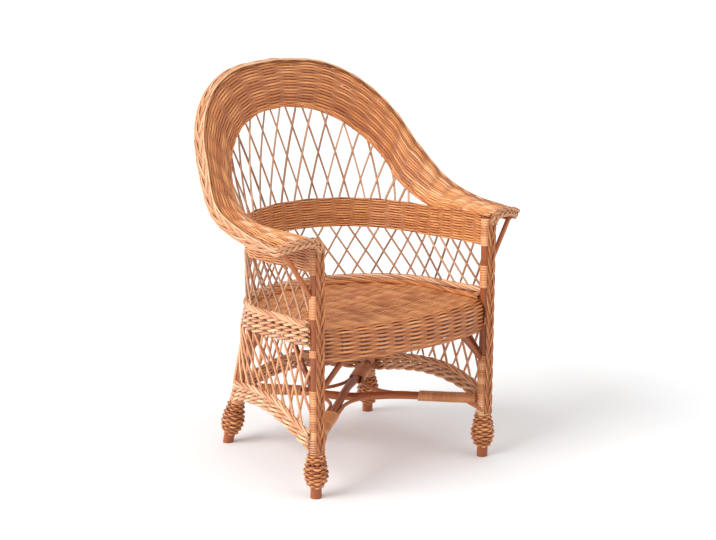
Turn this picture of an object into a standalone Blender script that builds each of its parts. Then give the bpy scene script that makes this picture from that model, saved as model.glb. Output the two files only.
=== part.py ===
"""Wicker armchair with a hooped back that flows down into flat arms.

A willow-rod frame (legs, seat rails, crossed stretchers, braces) carries a woven
seat with a deep front apron, three woven bands, open diamond lattices, and a wide
woven rim edged with a plait. The chair faces -Y, up is +Z, sizes are in metres.
Depths are measured backwards from the front feet.
"""

import math

import bmesh
import bpy
from mathutils import Vector

for old in list(bpy.data.objects):
    bpy.data.objects.remove(old, do_unlink=True)

# Fit between touching pieces
CLEARANCE = 0.0003

# Legs and feet
LEG_RADIUS = 0.0135
FRONT_FOOT_HALF_SPACING = 0.250
FRONT_POST_LEAN = 0.004
BACK_FOOT_HALF_SPACING = 0.219
BACK_FOOT_DEPTH = 0.453
BACK_LEG_TOP_HALF_SPACING = 0.172
BACK_LEG_TOP_DEPTH = 0.375

# Arms, hoop and rim
ARM_HEIGHT = 0.618
ARM_OUTER_HALF_WIDTH = 0.342
ARM_CORNER_DROP = 0.010
ARM_FRONT_HALF_WIDTH = 0.344
ARM_FRONT_CORNER_SETBACK = 0.020
ARM_WIDEST_DEPTH = 0.150
ARM_TURN_NARROWING = 0.004
ARM_TURN_RISE = 0.029
ARM_FRONT_BULGE = 0.012
RIM_THICKNESS = 0.009
RIM_CROWN = 0.012
RIM_ROWS = 8
HOOP_HALF_WIDTH = 0.323
HOOP_RISE = 0.330
HOOP_SQUARENESS = 2.45
HOOP_SPRING_DEPTH = 0.282
HOOP_LEAN = 0.82
OPENING_RISE = 0.228
OPENING_SQUARENESS = 2.1
OPENING_LIFT = 0.010
OPENING_SPRING_DEPTH = 0.317
OPENING_LEAN = 0.90
HOOP_ROD_RADIUS = 0.008
HOOP_ROD_DROP = 0.0026
HOOP_ROD_SHARE = 0.09
HOOP_ROD_SETBACK = 0.006
BORDER_HALF_HEIGHT = 0.013
BORDER_HALF_THICKNESS = 0.007

# Woven bands round the back
BAND_THICKNESS = 0.010
MID_BAND_INSET = 0.003
MID_BAND_RADIUS = FRONT_FOOT_HALF_SPACING - MID_BAND_INSET
MID_BAND_CENTRE_DEPTH = 0.235
MID_BAND_HEIGHT = 0.072
MID_BAND_DROP = 0.018
WAIST_OVERHANG = 0.006
WAIST_RADIUS = FRONT_FOOT_HALF_SPACING + WAIST_OVERHANG
WAIST_FLARE = 0.014
WAIST_CENTRE_DEPTH = 0.215
WAIST_TOP_HEIGHT = 0.432
WAIST_BAND_HEIGHT = 0.062
WAIST_DROP = 0.040
WAIST_BEAD = 0.0035
ARCH_END_HEIGHT = 0.120
ARCH_RISE = 0.036
ARCH_BAND_HEIGHT = 0.048
ARCH_BACK_BOW = 0.022
ARCH_SIDE_BOW = 0.010

# Seat
SEAT_FRONT_HEIGHT = 0.408
SEAT_SLOPE = 0.075
SEAT_THICKNESS = 0.010
SEAT_EDGE_MARGIN = 0.004
SEAT_REST = 0.0006
SEAT_ROWS = 24
SEAT_COLUMNS = 14
APRON_ROWS = 5
WEAVE_RELIEF = 0.003
APRON_BULGE = 0.040
APRON_BOTTOM_HEIGHT = 0.328
APRON_FORWARD = 0.016
APRON_ROLL = 0.026
APRON_SIDE_GAP = 0.0022
RAIL_RADIUS = 0.011
RAIL_SIDE_BOW = 0.018
RAIL_BACK_BOW = 0.045
RAIL_FRONT_BOW = 0.020
RAIL_FRONT_SETBACK = 0.008
BAR_RADIUS = 0.008
BAR_HALF_SPACING = 0.075

# Braces and stretchers
STRETCHER_RADIUS = 0.010
STRETCHER_HEIGHT = 0.150
CROSSING_REACH = 0.24
BOW_RADIUS = 0.0045
BOW_CORNER_RADIUS = 0.110
BOW_END_DROP = 0.026
BOW_END_RUN = 0.058
KNEE_RADIUS = 0.007
KNEE_LEG_HEIGHT = 0.245
KNEE_REACH = 0.130
ARM_BRACE_RADIUS = 0.006
ARM_BRACE_SHARE = 0.20

# Cane bindings, socks and plaits
BINDING_THICKNESS = 0.0016
LOWER_BINDING_SHARES = (0.27, 0.76)
MIDDLE_BINDING_SHARES = (0.05, 0.33)
UPPER_BINDING_SHARES = (0.60, 0.95)
WRAP_START = 0.052
WRAP_LENGTH = 0.110
SOCK_BOTTOM = 0.025
SOCK_TOP = 0.115
SOCK_BELLY_RADIUS = 0.029
SOCK_NECK_RADIUS = 0.0205
SOCK_HEEL_RADIUS = 0.0185
PLAIT_HALF_WIDTH = 0.012
PLAIT_THICKNESS = 0.008

# Lattices
LATTICE_RADIUS = 0.0027
STOUT_LATTICE_RADIUS = 0.0036
LATTICE_TUCK = 0.006
LATTICE_LAP = 0.0012
LATTICE_END = 0.024
LATTICE_SEAT_GAP = 0.0026
FACING_SHARE = 0.1
LATTICE_SHORTEST = 0.2
UPPER_PITCH = math.radians(9.5)
UPPER_SPAN = math.radians(19.0)
UPPER_END = math.radians(4.0)
UPPER_STRIDE = 0.002
UPPER_SHORTEST = 0.030
LOWER_PITCH = 0.050
LOWER_SPAN_PITCHES = 2.0
SKIRT_PITCH = 0.044
SKIRT_SPAN_PITCHES = 2.0

# Willow colours: linear RGB
PALE_WILLOW = (0.56, 0.24, 0.095)
BUFF_WILLOW = (0.47, 0.18, 0.065)
DARK_WILLOW = (0.20, 0.062, 0.026)

UP = Vector((0, 0, 1))
SIDES = {"left": -1, "right": 1}
RING_SIDES = 14

root = bpy.data.objects.new("armchair", None)
bpy.context.collection.objects.link(root)


def finish(name, mesh, colour, roughness=0.55):
    """Make the named piece from its mesh, with its own willow material."""
    piece = bpy.data.objects.new(name, mesh)
    bpy.context.collection.objects.link(piece)
    piece.parent = root
    material = bpy.data.materials.new(name + "_willow")
    material.use_nodes = True
    shader = material.node_tree.nodes["Principled BSDF"]
    shader.inputs["Base Color"].default_value = (*colour, 1.0)
    shader.inputs["Roughness"].default_value = roughness
    shader.inputs["Metallic"].default_value = 0.0
    mesh.materials.append(material)
    mesh.shade_smooth()
    mesh.set_sharp_from_angle(angle=math.radians(40))
    return piece


def ease(t):
    """Smooth step from 0 to 1."""
    t = min(max(t, 0.0), 1.0)
    return t * t * (3 - 2 * t)


def spline(points, per_span):
    """Catmull-Rom curve through the points, with the ends mirrored on."""
    points = [Vector(p) for p in points]
    chain = [2 * points[0] - points[1]] + points + [2 * points[-1] - points[-2]]
    curve = []
    for a, b, c, d in zip(chain, chain[1:], chain[2:], chain[3:]):
        for step in range(per_span):
            t = step / per_span
            curve.append(0.5 * (2 * b + (c - a) * t + (2 * a - 5 * b + 4 * c - d) * t * t
                                + (3 * b - a - 3 * c + d) * t ** 3))
    return curve + [points[-1]]


def measured(points):
    """Running length along a polyline."""
    lengths = [0.0]
    for a, b in zip(points, points[1:]):
        lengths.append(lengths[-1] + (b - a).length)
    return lengths


def at(points, lengths, distance):
    """Point at a distance along a measured polyline, carried straight on past its ends."""
    last = len(points) - 2
    index = next((i for i in range(last + 1) if lengths[i + 1] >= distance), last)
    span = lengths[index + 1] - lengths[index]
    return points[index].lerp(points[index + 1], (distance - lengths[index]) / span)


def loft(rings, closed_path=False):
    """Skin a list of equal rings; capped at both ends unless the path is closed."""
    bm = bmesh.new()
    loops = [[bm.verts.new(p) for p in ring] for ring in rings]
    pairs = list(zip(loops, loops[1:]))
    if closed_path:
        pairs.append((loops[-1], loops[0]))
    count = len(rings[0])
    for near, far in pairs:
        for i in range(count):
            j = (i + 1) % count
            bm.faces.new((near[i], near[j], far[j], far[i]))
    if not closed_path:
        bm.faces.new(reversed(loops[0]))
        bm.faces.new(loops[-1])
    bmesh.ops.recalc_face_normals(bm, faces=bm.faces)
    mesh = bpy.data.meshes.new("loft")
    bm.to_mesh(mesh)
    bm.free()
    return mesh


def faceted(mesh):
    """Split a mesh into triangles, so that a bumpy surface reads the same everywhere."""
    bm = bmesh.new()
    bm.from_mesh(mesh)
    bmesh.ops.triangulate(bm, faces=bm.faces, quad_method="FIXED")
    bm.to_mesh(mesh)
    bm.free()
    return mesh


def frames(path, first_side):
    """Turn a path into points with a side and an upper direction that don't twist."""
    result = []
    side = Vector(first_side)
    for i, point in enumerate(path):
        ahead = (path[min(i + 1, len(path) - 1)] - path[max(i - 1, 0)]).normalized()
        side = (side - ahead * side.dot(ahead)).normalized()
        result.append((point, side, ahead.cross(side)))
    return result


def tube(path, radius, sides=8, first_side=(0.31, 0.17, 0.93)):
    """Solid rod along a path, with one edge facing the first side direction."""
    rings = []
    for point, side, upper in frames(path, first_side):
        ring = []
        for k in range(sides):
            angle = 2 * math.pi * k / sides
            ring.append(point + (side * math.cos(angle) + upper * math.sin(angle)) * radius)
        rings.append(ring)
    return loft(rings)


def turned(start, axis, profile, sides=RING_SIDES):
    """Ring-shaped body: a closed (radius, height) profile turned about an axis."""
    axis = axis.normalized()
    side = axis.orthogonal().normalized()
    upper = axis.cross(side)
    rings = []
    for radius, height in profile:
        ring = []
        for k in range(sides):
            angle = 2 * math.pi * k / sides
            ring.append(start + axis * height
                        + (side * math.cos(angle) + upper * math.sin(angle)) * radius)
        rings.append(ring)
    return loft(rings, closed_path=True)


def largest_body(mesh):
    """Keep the largest connected body of a mesh, without slivers."""
    bm = bmesh.new()
    bm.from_mesh(mesh)
    bmesh.ops.remove_doubles(bm, verts=bm.verts, dist=2e-6)
    bmesh.ops.dissolve_degenerate(bm, edges=bm.edges, dist=2e-6)
    unseen = set(bm.verts)
    bodies = []
    while unseen:
        stack = [unseen.pop()]
        body = set(stack)
        while stack:
            for edge in stack.pop().link_edges:
                for vert in edge.verts:
                    if vert in unseen:
                        unseen.discard(vert)
                        body.add(vert)
                        stack.append(vert)
        bodies.append(body)
    keep = max(bodies, key=len)
    stray = [v for body in bodies if body is not keep for v in body]
    bmesh.ops.delete(bm, geom=stray, context="VERTS")
    bm.to_mesh(mesh)
    bm.free()


def combine(mesh, other, operation):
    """Boolean of two meshes, as a new mesh."""
    body = bpy.data.objects.new("body", mesh)
    tool = bpy.data.objects.new("tool", other)
    for item in (body, tool):
        bpy.context.collection.objects.link(item)
    modifier = body.modifiers.new("combine", "BOOLEAN")
    modifier.operation = operation
    modifier.solver = "EXACT"
    modifier.object = tool
    graph = bpy.context.evaluated_depsgraph_get()
    result = bpy.data.meshes.new_from_object(body.evaluated_get(graph))
    for item in (body, tool):
        bpy.data.objects.remove(item, do_unlink=True)
    result.materials.clear()
    return result


def grown(mesh, amount=CLEARANCE):
    """Copy of a closed mesh with every face moved outwards by an amount."""
    bm = bmesh.new()
    bm.from_mesh(mesh)
    bmesh.ops.triangulate(bm, faces=bm.faces)
    bm.normal_update()
    moved = [v.co + v.normal * amount * min(v.calc_shell_factor(), 2.0) for v in bm.verts]
    for vert, place in zip(bm.verts, moved):
        vert.co = place
    copy = bpy.data.meshes.new("grown")
    bm.to_mesh(copy)
    bm.free()
    return copy


def clear_of(mesh, *neighbours):
    """Cut a mesh back so that it stays one clearance away from its neighbours."""
    for neighbour in neighbours:
        mesh = combine(mesh, grown(neighbour), "DIFFERENCE")
        largest_body(mesh)
    return mesh


# Legs: straight willow rods, cut flat at the floor
def front_axis(side, height):
    lean = FRONT_POST_LEAN * height / ARM_HEIGHT
    return Vector((side * FRONT_FOOT_HALF_SPACING, -lean, height))


def seat_height(depth):
    return SEAT_FRONT_HEIGHT - SEAT_SLOPE * depth


BACK_LEG_HEIGHT = seat_height(BACK_LEG_TOP_DEPTH + LEG_RADIUS) - SEAT_THICKNESS - SEAT_REST


def back_axis(side, height):
    share = height / BACK_LEG_HEIGHT
    half = BACK_FOOT_HALF_SPACING + (BACK_LEG_TOP_HALF_SPACING - BACK_FOOT_HALF_SPACING) * share
    depth = BACK_FOOT_DEPTH + (BACK_LEG_TOP_DEPTH - BACK_FOOT_DEPTH) * share
    return Vector((side * half, depth, height))


def leg(axis, side, top):
    """Twelve-sided rod whose rings all lie level, so that the foot stands flat."""
    rings = []
    for height in (0.0, top):
        centre = axis(side, height)
        rings.append([centre + LEG_RADIUS * Vector((math.cos(k * math.pi / 6), math.sin(k * math.pi / 6), 0))
                      for k in range(12)])
    return loft(rings)


POST_TOP = ARM_HEIGHT - RIM_THICKNESS / 2 - 2 * SEAT_REST
legs = {}
for word, side in SIDES.items():
    legs["front_" + word] = leg(front_axis, side, POST_TOP)
    legs["back_" + word] = leg(back_axis, side, BACK_LEG_HEIGHT)
AXES = {"front": front_axis, "back": back_axis}


def leg_axis(corner, height):
    end, word = corner.split("_")
    return AXES[end](SIDES[word], height)


# Socks: woven pear-shaped sleeves over the lower legs
socks = {}
for corner in legs:
    bore = (LEG_RADIUS + CLEARANCE) / math.cos(math.pi / RING_SIDES)
    length = SOCK_TOP - SOCK_BOTTOM
    outline = [(SOCK_HEEL_RADIUS, 0.0)]
    for step in range(1, 8):
        share = step / 8
        swell = math.sin(math.pi * share ** 0.72) ** 1.3
        plain = SOCK_HEEL_RADIUS + (SOCK_NECK_RADIUS - SOCK_HEEL_RADIUS) * share
        outline.append((plain + (SOCK_BELLY_RADIUS - plain) * swell, length * share))
    outline += [(SOCK_NECK_RADIUS, length), (bore, length), (bore, 0.0)]
    foot = leg_axis(corner, SOCK_BOTTOM)
    socks[corner] = turned(foot, leg_axis(corner, SOCK_TOP) - foot, outline)

# Cane bindings round the front posts: between stretcher and knee, and between waist and arm
def between(low, high, shares):
    return [low + (high - low) * share for share in shares]


ARM_BRACE_HEIGHT = WAIST_TOP_HEIGHT + (ARM_HEIGHT - WAIST_TOP_HEIGHT) * ARM_BRACE_SHARE
binding_spans = {
    "lower": between(STRETCHER_HEIGHT, KNEE_LEG_HEIGHT, LOWER_BINDING_SHARES),
    "middle": between(WAIST_TOP_HEIGHT, ARM_HEIGHT, MIDDLE_BINDING_SHARES),
    "upper": between(WAIST_TOP_HEIGHT, ARM_HEIGHT, UPPER_BINDING_SHARES),
}
bindings = {}
for word, side in SIDES.items():
    for place, (low, high) in binding_spans.items():
        inner = (LEG_RADIUS + CLEARANCE) / math.cos(math.pi / RING_SIDES)
        outer = inner + BINDING_THICKNESS
        start = front_axis(side, low)
        axis = front_axis(side, high) - start
        ring = [(inner, 0.0), (outer, 0.0), (outer, axis.length), (inner, axis.length)]
        bindings[word + "_" + place] = turned(start, axis, ring)


# Seat frame: four bent rails between the legs, and two bars under the weave
def rail_point(start, end, bow, share):
    """Point of a rail from leg to leg that bows sideways and hangs under the seat."""
    place = start.lerp(end, share) + bow * math.sin(math.pi * share)
    height = seat_height(place.y) - SEAT_THICKNESS - SEAT_REST - RAIL_RADIUS
    return Vector((place.x, place.y, height))


def rail_path(first, second, bow, setback=0.0):
    ends = []
    for corner in (first, second):
        depth = leg_axis(corner, BACK_LEG_HEIGHT).y
        level = seat_height(depth) - SEAT_THICKNESS - RAIL_RADIUS
        ends.append(leg_axis(corner, level) + Vector((0, setback, 0)))
    return [rail_point(*ends, Vector(bow), step / 8) for step in range(9)]


rail_paths = {
    "front": rail_path("front_left", "front_right", (0, -RAIL_FRONT_BOW, 0), RAIL_FRONT_SETBACK),
    "back": rail_path("back_left", "back_right", (0, RAIL_BACK_BOW, 0)),
    "left": rail_path("front_left", "back_left", (-RAIL_SIDE_BOW, 0, 0)),
    "right": rail_path("front_right", "back_right", (RAIL_SIDE_BOW, 0, 0)),
}
rails = {}
for word, path in rail_paths.items():
    met = [mesh for corner, mesh in legs.items() if word in corner]
    made = [rails[other] for other in rails]
    rails[word] = clear_of(tube(path, RAIL_RADIUS), *met, *made)

bars = {}
for word, side in SIDES.items():
    ends = []
    for rail in ("front", "back"):
        near = min(rail_paths[rail], key=lambda p: abs(p.x - side * BAR_HALF_SPACING))
        ends.append(Vector((side * BAR_HALF_SPACING, near.y, 0)))
    for end in ends:
        end.z = seat_height(end.y) - SEAT_THICKNESS - SEAT_REST - BAR_RADIUS
    bars[word] = clear_of(tube(ends, BAR_RADIUS), rails["front"], rails["back"])


# Stretchers: two rods from leg to leg that cross, one passing over the other
stretcher_front = front_axis(1, STRETCHER_HEIGHT)
stretcher_back = back_axis(-1, STRETCHER_HEIGHT)
CROSSING_SHARE = stretcher_front.x / (stretcher_front.x - stretcher_back.x)
CROSSING = stretcher_front.lerp(stretcher_back, CROSSING_SHARE)


def stretcher_path(first, second, lift):
    """Straight from leg to leg, with a gentle rise or dip where the two rods cross."""
    start = leg_axis(first, STRETCHER_HEIGHT)
    end = leg_axis(second, STRETCHER_HEIGHT)
    shares = [CROSSING_SHARE * k / 8 for k in range(8)]
    shares += [CROSSING_SHARE + (1 - CROSSING_SHARE) * k / 7 for k in range(8)]
    return [start.lerp(end, share) + UP * lift * ease(1 - abs(share - CROSSING_SHARE) / CROSSING_REACH)
            for share in shares]


CROSS_LIFT = STRETCHER_RADIUS + CLEARANCE
stretcher_paths = {
    "upper": stretcher_path("front_left", "back_right", CROSS_LIFT),
    "lower": stretcher_path("front_right", "back_left", -CROSS_LIFT),
}
stretcher_ends = {"upper": ("front_left", "back_right"), "lower": ("front_right", "back_left")}
stretchers = {}
for word, path in stretcher_paths.items():
    met = [legs[corner] for corner in stretcher_ends[word]]
    stretchers[word] = clear_of(tube(path, STRETCHER_RADIUS, sides=10), *met)

# Bows: thin rods nested in the four crotches of the crossed stretchers
BOW_OFFSET = STRETCHER_RADIUS + BOW_RADIUS + CLEARANCE


def bow_path(first, second):
    """Run beside one stretcher, round the crossing, and out beside the other."""
    arms = []
    for corner, other in ((first, second), (second, first)):
        out = leg_axis(corner, STRETCHER_HEIGHT) - CROSSING
        aside = leg_axis(other, STRETCHER_HEIGHT) - CROSSING
        out_way = out.normalized()
        aside = (aside - out_way * aside.dot(out_way)).normalized()
        arms.append((out_way, aside, out.length))
    (way_a, aside_a, reach_a), (way_b, aside_b, reach_b) = arms
    half = math.acos(max(-1.0, min(1.0, way_a.dot(way_b)))) / 2
    middle_way = (way_a + way_b).normalized()
    apex = CROSSING + middle_way * BOW_OFFSET / math.sin(half)
    centre = apex + middle_way * BOW_CORNER_RADIUS / math.sin(half)
    trim = BOW_CORNER_RADIUS / math.tan(half)
    start = (apex - CROSSING).dot(way_a)
    sides = []
    for way, reach in ((way_a, reach_a), (way_b, reach_b)):
        run = [(reach, 1.0), (reach - 0.5 * BOW_END_RUN, 0.4), (reach - BOW_END_RUN, 0.0),
               (start + trim, 0.0)]
        sides.append([apex + way * (distance - start) - UP * BOW_END_DROP * drop for distance, drop in run])
    spokes = [side[-1] - centre for side in sides]
    corner = [centre + spokes[0].lerp(spokes[1], share).normalized() * BOW_CORNER_RADIUS
              for share in (0.25, 0.5, 0.75)]
    return sides[0] + corner + sides[1][::-1]


bow_corners = {
    "front": ("front_left", "front_right"),
    "back": ("back_left", "back_right"),
    "left": ("front_left", "back_left"),
    "right": ("front_right", "back_right"),
}
bows = {}
for word, (first, second) in bow_corners.items():
    body = tube(bow_path(first, second), BOW_RADIUS, sides=6)
    bows[word] = clear_of(body, legs[first], legs[second], *stretchers.values())

# Cane wraps that bind each stretcher to the two bows beside it
wraps = {}
for word, corners in stretcher_ends.items():
    for corner in corners:
        way = (CROSSING - leg_axis(corner, STRETCHER_HEIGHT)).normalized()
        across = way.cross(UP).normalized()
        start = leg_axis(corner, STRETCHER_HEIGHT) + way * WRAP_START
        rings = []
        for shell in (0.0, BINDING_THICKNESS):
            half_width = BOW_OFFSET + BOW_RADIUS + CLEARANCE + shell
            half_height = STRETCHER_RADIUS + CLEARANCE + shell
            outline = []
            for k in range(12):
                turn = math.radians(30 * k + 15)
                wide = math.copysign(abs(math.cos(turn)) ** 0.6, math.cos(turn))
                tall = math.copysign(abs(math.sin(turn)) ** 0.6, math.sin(turn))
                outline.append(across * half_width * wide + UP * half_height * tall)
            rings.append(outline)
        inner, outer = rings
        stations = [[start + p for p in inner], [start + p for p in outer],
                    [start + way * WRAP_LENGTH + p for p in outer],
                    [start + way * WRAP_LENGTH + p for p in inner]]
        near_bows = [bows[name] for name, pair in bow_corners.items() if corner in pair]
        wraps[corner] = clear_of(loft(stations, closed_path=True), stretchers[word], *near_bows)

# Knee braces: two struts from every leg up to the rails beside it
knees = {}
for corner in legs:
    end, word = corner.split("_")
    for rail in (end, word):
        path = rail_paths[rail]
        lengths = measured(path)
        from_start = (path[0] - leg_axis(corner, path[0].z)).length < 0.05
        reach = KNEE_REACH if from_start else lengths[-1] - KNEE_REACH
        top = at(path, lengths, reach)
        foot = leg_axis(corner, KNEE_LEG_HEIGHT)
        body = tube([foot, foot.lerp(top, 0.5), top], KNEE_RADIUS, sides=7)
        met = [knees[name] for name in knees if name.startswith(corner)]
        knees[corner + "_" + rail] = clear_of(body, legs[corner], rails[rail], *met)


# Hoop: outer and inner edges of the rim on the right, mirrored for the left
def mid_top(depth):
    return ARM_HEIGHT - RIM_THICKNESS / 2 - CLEARANCE - MID_BAND_DROP * ease(depth / OPENING_SPRING_DEPTH)


def half_hoop(half_width, rise, squareness, spring_depth, lean, base, angle):
    """Point on a leaning half hoop; 0 degrees is its springing, 90 its top."""
    power = 2 / squareness
    lift = rise * math.sin(math.radians(angle)) ** power
    return Vector((half_width * abs(math.cos(math.radians(angle))) ** power,
                   spring_depth + lean * lift, base + lift))


def hoop_outline(angle):
    return half_hoop(HOOP_HALF_WIDTH, HOOP_RISE, HOOP_SQUARENESS, HOOP_SPRING_DEPTH, HOOP_LEAN,
                     ARM_HEIGHT, angle)


def opening_outline(angle):
    return half_hoop(MID_BAND_RADIUS, OPENING_RISE, OPENING_SQUARENESS, OPENING_SPRING_DEPTH,
                     OPENING_LEAN, ARM_HEIGHT - MID_BAND_DROP + OPENING_LIFT, angle)


ARM_FRONT = -FRONT_POST_LEAN - LEG_RADIUS
outer_edge = [
    Vector((ARM_FRONT_HALF_WIDTH, ARM_FRONT + ARM_FRONT_CORNER_SETBACK, ARM_HEIGHT - ARM_CORNER_DROP)),
    Vector((ARM_OUTER_HALF_WIDTH, ARM_WIDEST_DEPTH, ARM_HEIGHT - 0.4 * ARM_CORNER_DROP)),
    Vector((ARM_OUTER_HALF_WIDTH - ARM_TURN_NARROWING, HOOP_SPRING_DEPTH, ARM_HEIGHT + ARM_TURN_RISE)),
]
outer_edge += [hoop_outline(angle) for angle in (15, 28, 42, 57, 73, 90)]
inner_edge = [
    Vector((MID_BAND_RADIUS, depth, mid_top(depth) + RIM_THICKNESS / 2 + CLEARANCE))
    for depth in (ARM_FRONT, 0.38 * OPENING_SPRING_DEPTH, 0.71 * OPENING_SPRING_DEPTH)
]
inner_edge += [opening_outline(angle) for angle in (7, 22, 38, 55, 72, 90)]


def both_sides(curve):
    """Continue a right-hand curve that ends on the middle plane over to the left."""
    return curve + [Vector((-p.x, p.y, p.z)) for p in reversed(curve[:-1])]


RIM_STEPS = 2
outer_line = both_sides(spline(outer_edge, RIM_STEPS))
inner_line = both_sides(spline(inner_edge, RIM_STEPS))
rim_count = len(outer_line)


def rim_point(station, share, lift=0.0):
    """Point across the rim at a station: share 0 is the outer edge, 1 the inner edge."""
    outer = outer_line[station]
    inner = inner_line[station]
    along = outer_line[min(station + 1, rim_count - 1)] - outer_line[max(station - 1, 0)]
    across = inner - outer
    normal = along.cross(across).normalized()
    from_front = min(station, rim_count - 1 - station)
    bulge = ARM_FRONT_BULGE * 4 * share * (1 - share) * max(0.0, 1 - from_front / 2)
    crown = RIM_CROWN * 4 * share * (1 - share)
    return outer.lerp(inner, share) + normal * (crown + lift) - Vector((0, bulge, 0))


def rim_normal(station, share):
    return (rim_point(station, share, 1.0) - rim_point(station, share)).normalized()


def sunk(row, column, last):
    """Depth of the weave's relief: every other crossing inside the edges lies lower."""
    return WEAVE_RELIEF if 0 < column < last and (row + column) % 2 else 0.0


def rim_mesh():
    rings = []
    for station in range(rim_count):
        top = [rim_point(station, k / RIM_ROWS, RIM_THICKNESS / 2 - sunk(station, k, RIM_ROWS))
               for k in range(RIM_ROWS + 1)]
        under = [rim_point(station, k / RIM_ROWS, -RIM_THICKNESS / 2) for k in range(RIM_ROWS, -1, -1)]
        rings.append(top + under)
    return loft(rings)


rim = faceted(rim_mesh())

# Hoop rod: the bent rod under the rim's outer edge
rod_path = []
for station in range(rim_count):
    under = RIM_THICKNESS / 2 + HOOP_ROD_RADIUS + HOOP_ROD_DROP
    rod_path.append(rim_point(station, HOOP_ROD_SHARE, -under))
for end in (rod_path[0], rod_path[-1]):
    end.y += HOOP_ROD_SETBACK
hoop_rod = tube(rod_path, HOOP_ROD_RADIUS, sides=6)

# Plaited border: along the front of each arm and all round the rim's outer edge
border_path = []
border_side = []
gap_out = BORDER_HALF_THICKNESS + SEAT_REST
for share in (0.97, 0.75, 0.5, 0.25):
    border_path.append(rim_point(0, share) + Vector((0, -gap_out, 0)))
    border_side.append(rim_normal(0, share))
corner_out = (rim_point(0, 0.0) - rim_point(0, 0.2)).normalized()
border_path.append(rim_point(0, 0.0) + (corner_out + Vector((0, -1, 0))).normalized() * gap_out * 1.25)
border_side.append(rim_normal(0, 0.05))
for station in range(1, rim_count // 2 + 1):
    outward = rim_point(station, 0.0) - rim_point(station, 0.2)
    along = (outer_line[station + 1] - outer_line[station - 1]).normalized()
    outward = (outward - along * outward.dot(along)).normalized()
    border_path.append(rim_point(station, 0.0) + outward * gap_out)
    border_side.append(rim_normal(station, 0.05))
border_path = both_sides(border_path)
border_side = border_side + [Vector((-n.x, n.y, n.z)) for n in reversed(border_side[:-1])]


def flat_strip(path, sides, half_side, half_across, count=6):
    """Oval strip along a path; its tall direction is given at every point."""
    rings = []
    for i, (point, side) in enumerate(zip(path, sides)):
        ahead = (path[min(i + 1, len(path) - 1)] - path[max(i - 1, 0)]).normalized()
        tall = (side - ahead * side.dot(ahead)).normalized()
        wide = ahead.cross(tall)
        ring = []
        for k in range(count):
            angle = 2 * math.pi * k / count
            ring.append(point + tall * half_side * math.cos(angle) + wide * half_across * math.sin(angle))
        rings.append(ring)
    return loft(rings)


border = flat_strip(border_path, border_side, BORDER_HALF_HEIGHT, BORDER_HALF_THICKNESS)

# Plaits down the front faces of the posts
plaits = {}
for word, side in SIDES.items():
    stand_off = LEG_RADIUS + CLEARANCE * 2 + BINDING_THICKNESS + PLAIT_THICKNESS / 2
    path = []
    for step in range(7):
        height = SOCK_TOP + CLEARANCE + (POST_TOP - SOCK_TOP) * step / 6
        path.append(front_axis(side, height) - Vector((0, stand_off, 0)))
    strip = flat_strip(path, [Vector((1, 0, 0))] * 7, PLAIT_HALF_WIDTH, PLAIT_THICKNESS / 2)
    plaits[word] = clear_of(strip, border, rim, socks["front_" + word])

# Arm braces: struts from the posts out to the hoop rod under the arms
arm_braces = {}
for word, side in SIDES.items():
    top = rod_path[0 if side > 0 else -1] + Vector((0, 0.3 * ARM_BRACE_RADIUS, 0))
    foot = front_axis(side, ARM_BRACE_HEIGHT)
    body = tube([foot, foot.lerp(top, 0.5), top], ARM_BRACE_RADIUS, sides=8)
    post = [legs["front_" + word], bindings[word + "_middle"]]
    arm_braces[word] = clear_of(body, *post, hoop_rod, rim, border)


# Bands: strips that run from post to post round the back
def horseshoe(front_half, radius, centre_depth, front_depth, steps=7, turn=24):
    """Plan of a band: slightly splayed sides and a half circle behind, right to left."""
    plan = []
    for step in range(steps):
        share = 1 - step / steps
        plan.append(Vector((radius + (front_half - radius) * share * share,
                            centre_depth + (front_depth - centre_depth) * share, 0)))
    for step in range(turn + 1):
        angle = math.pi * step / turn
        plan.append(Vector((radius * math.cos(angle), centre_depth + radius * math.sin(angle), 0)))
    return plan + [Vector((-p.x, p.y, 0)) for p in reversed(plan[:steps])]


def band_mesh(lower, upper, section):
    """Sweep a section between two edge lines; it lists (share up, distance outwards)."""
    rings = []
    for i, (low, high) in enumerate(zip(lower, upper)):
        along = lower[min(i + 1, len(lower) - 1)] - lower[max(i - 1, 0)]
        rise = high - low
        outward = along.cross(rise).normalized()
        rings.append([low + rise * share + outward * distance for share, distance in section])
    return loft(rings)


HALF_BAND = BAND_THICKNESS / 2
PLAIN_SECTION = [(0.0, -HALF_BAND), (0.0, HALF_BAND), (1.0, HALF_BAND), (1.0, -HALF_BAND)]

mid_plan = horseshoe(MID_BAND_RADIUS, MID_BAND_RADIUS, MID_BAND_CENTRE_DEPTH, 0.0)
mid_upper = [Vector((p.x, p.y, mid_top(p.y))) for p in mid_plan]
mid_lower = [p - UP * MID_BAND_HEIGHT for p in mid_upper]
front_posts = [legs["front_left"], legs["front_right"]]
upper_bindings = [bindings[word + "_upper"] for word in SIDES]
mid_band = clear_of(band_mesh(mid_lower, mid_upper, PLAIN_SECTION), *front_posts, *upper_bindings, rim)

waist_front_half = FRONT_FOOT_HALF_SPACING + LEG_RADIUS + CLEARANCE + HALF_BAND
waist_back_depth = WAIST_CENTRE_DEPTH + WAIST_RADIUS
waist_front_depth = front_axis(1, WAIST_TOP_HEIGHT).y


def waist_height(depth):
    return WAIST_TOP_HEIGHT - WAIST_DROP * depth / waist_back_depth


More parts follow.
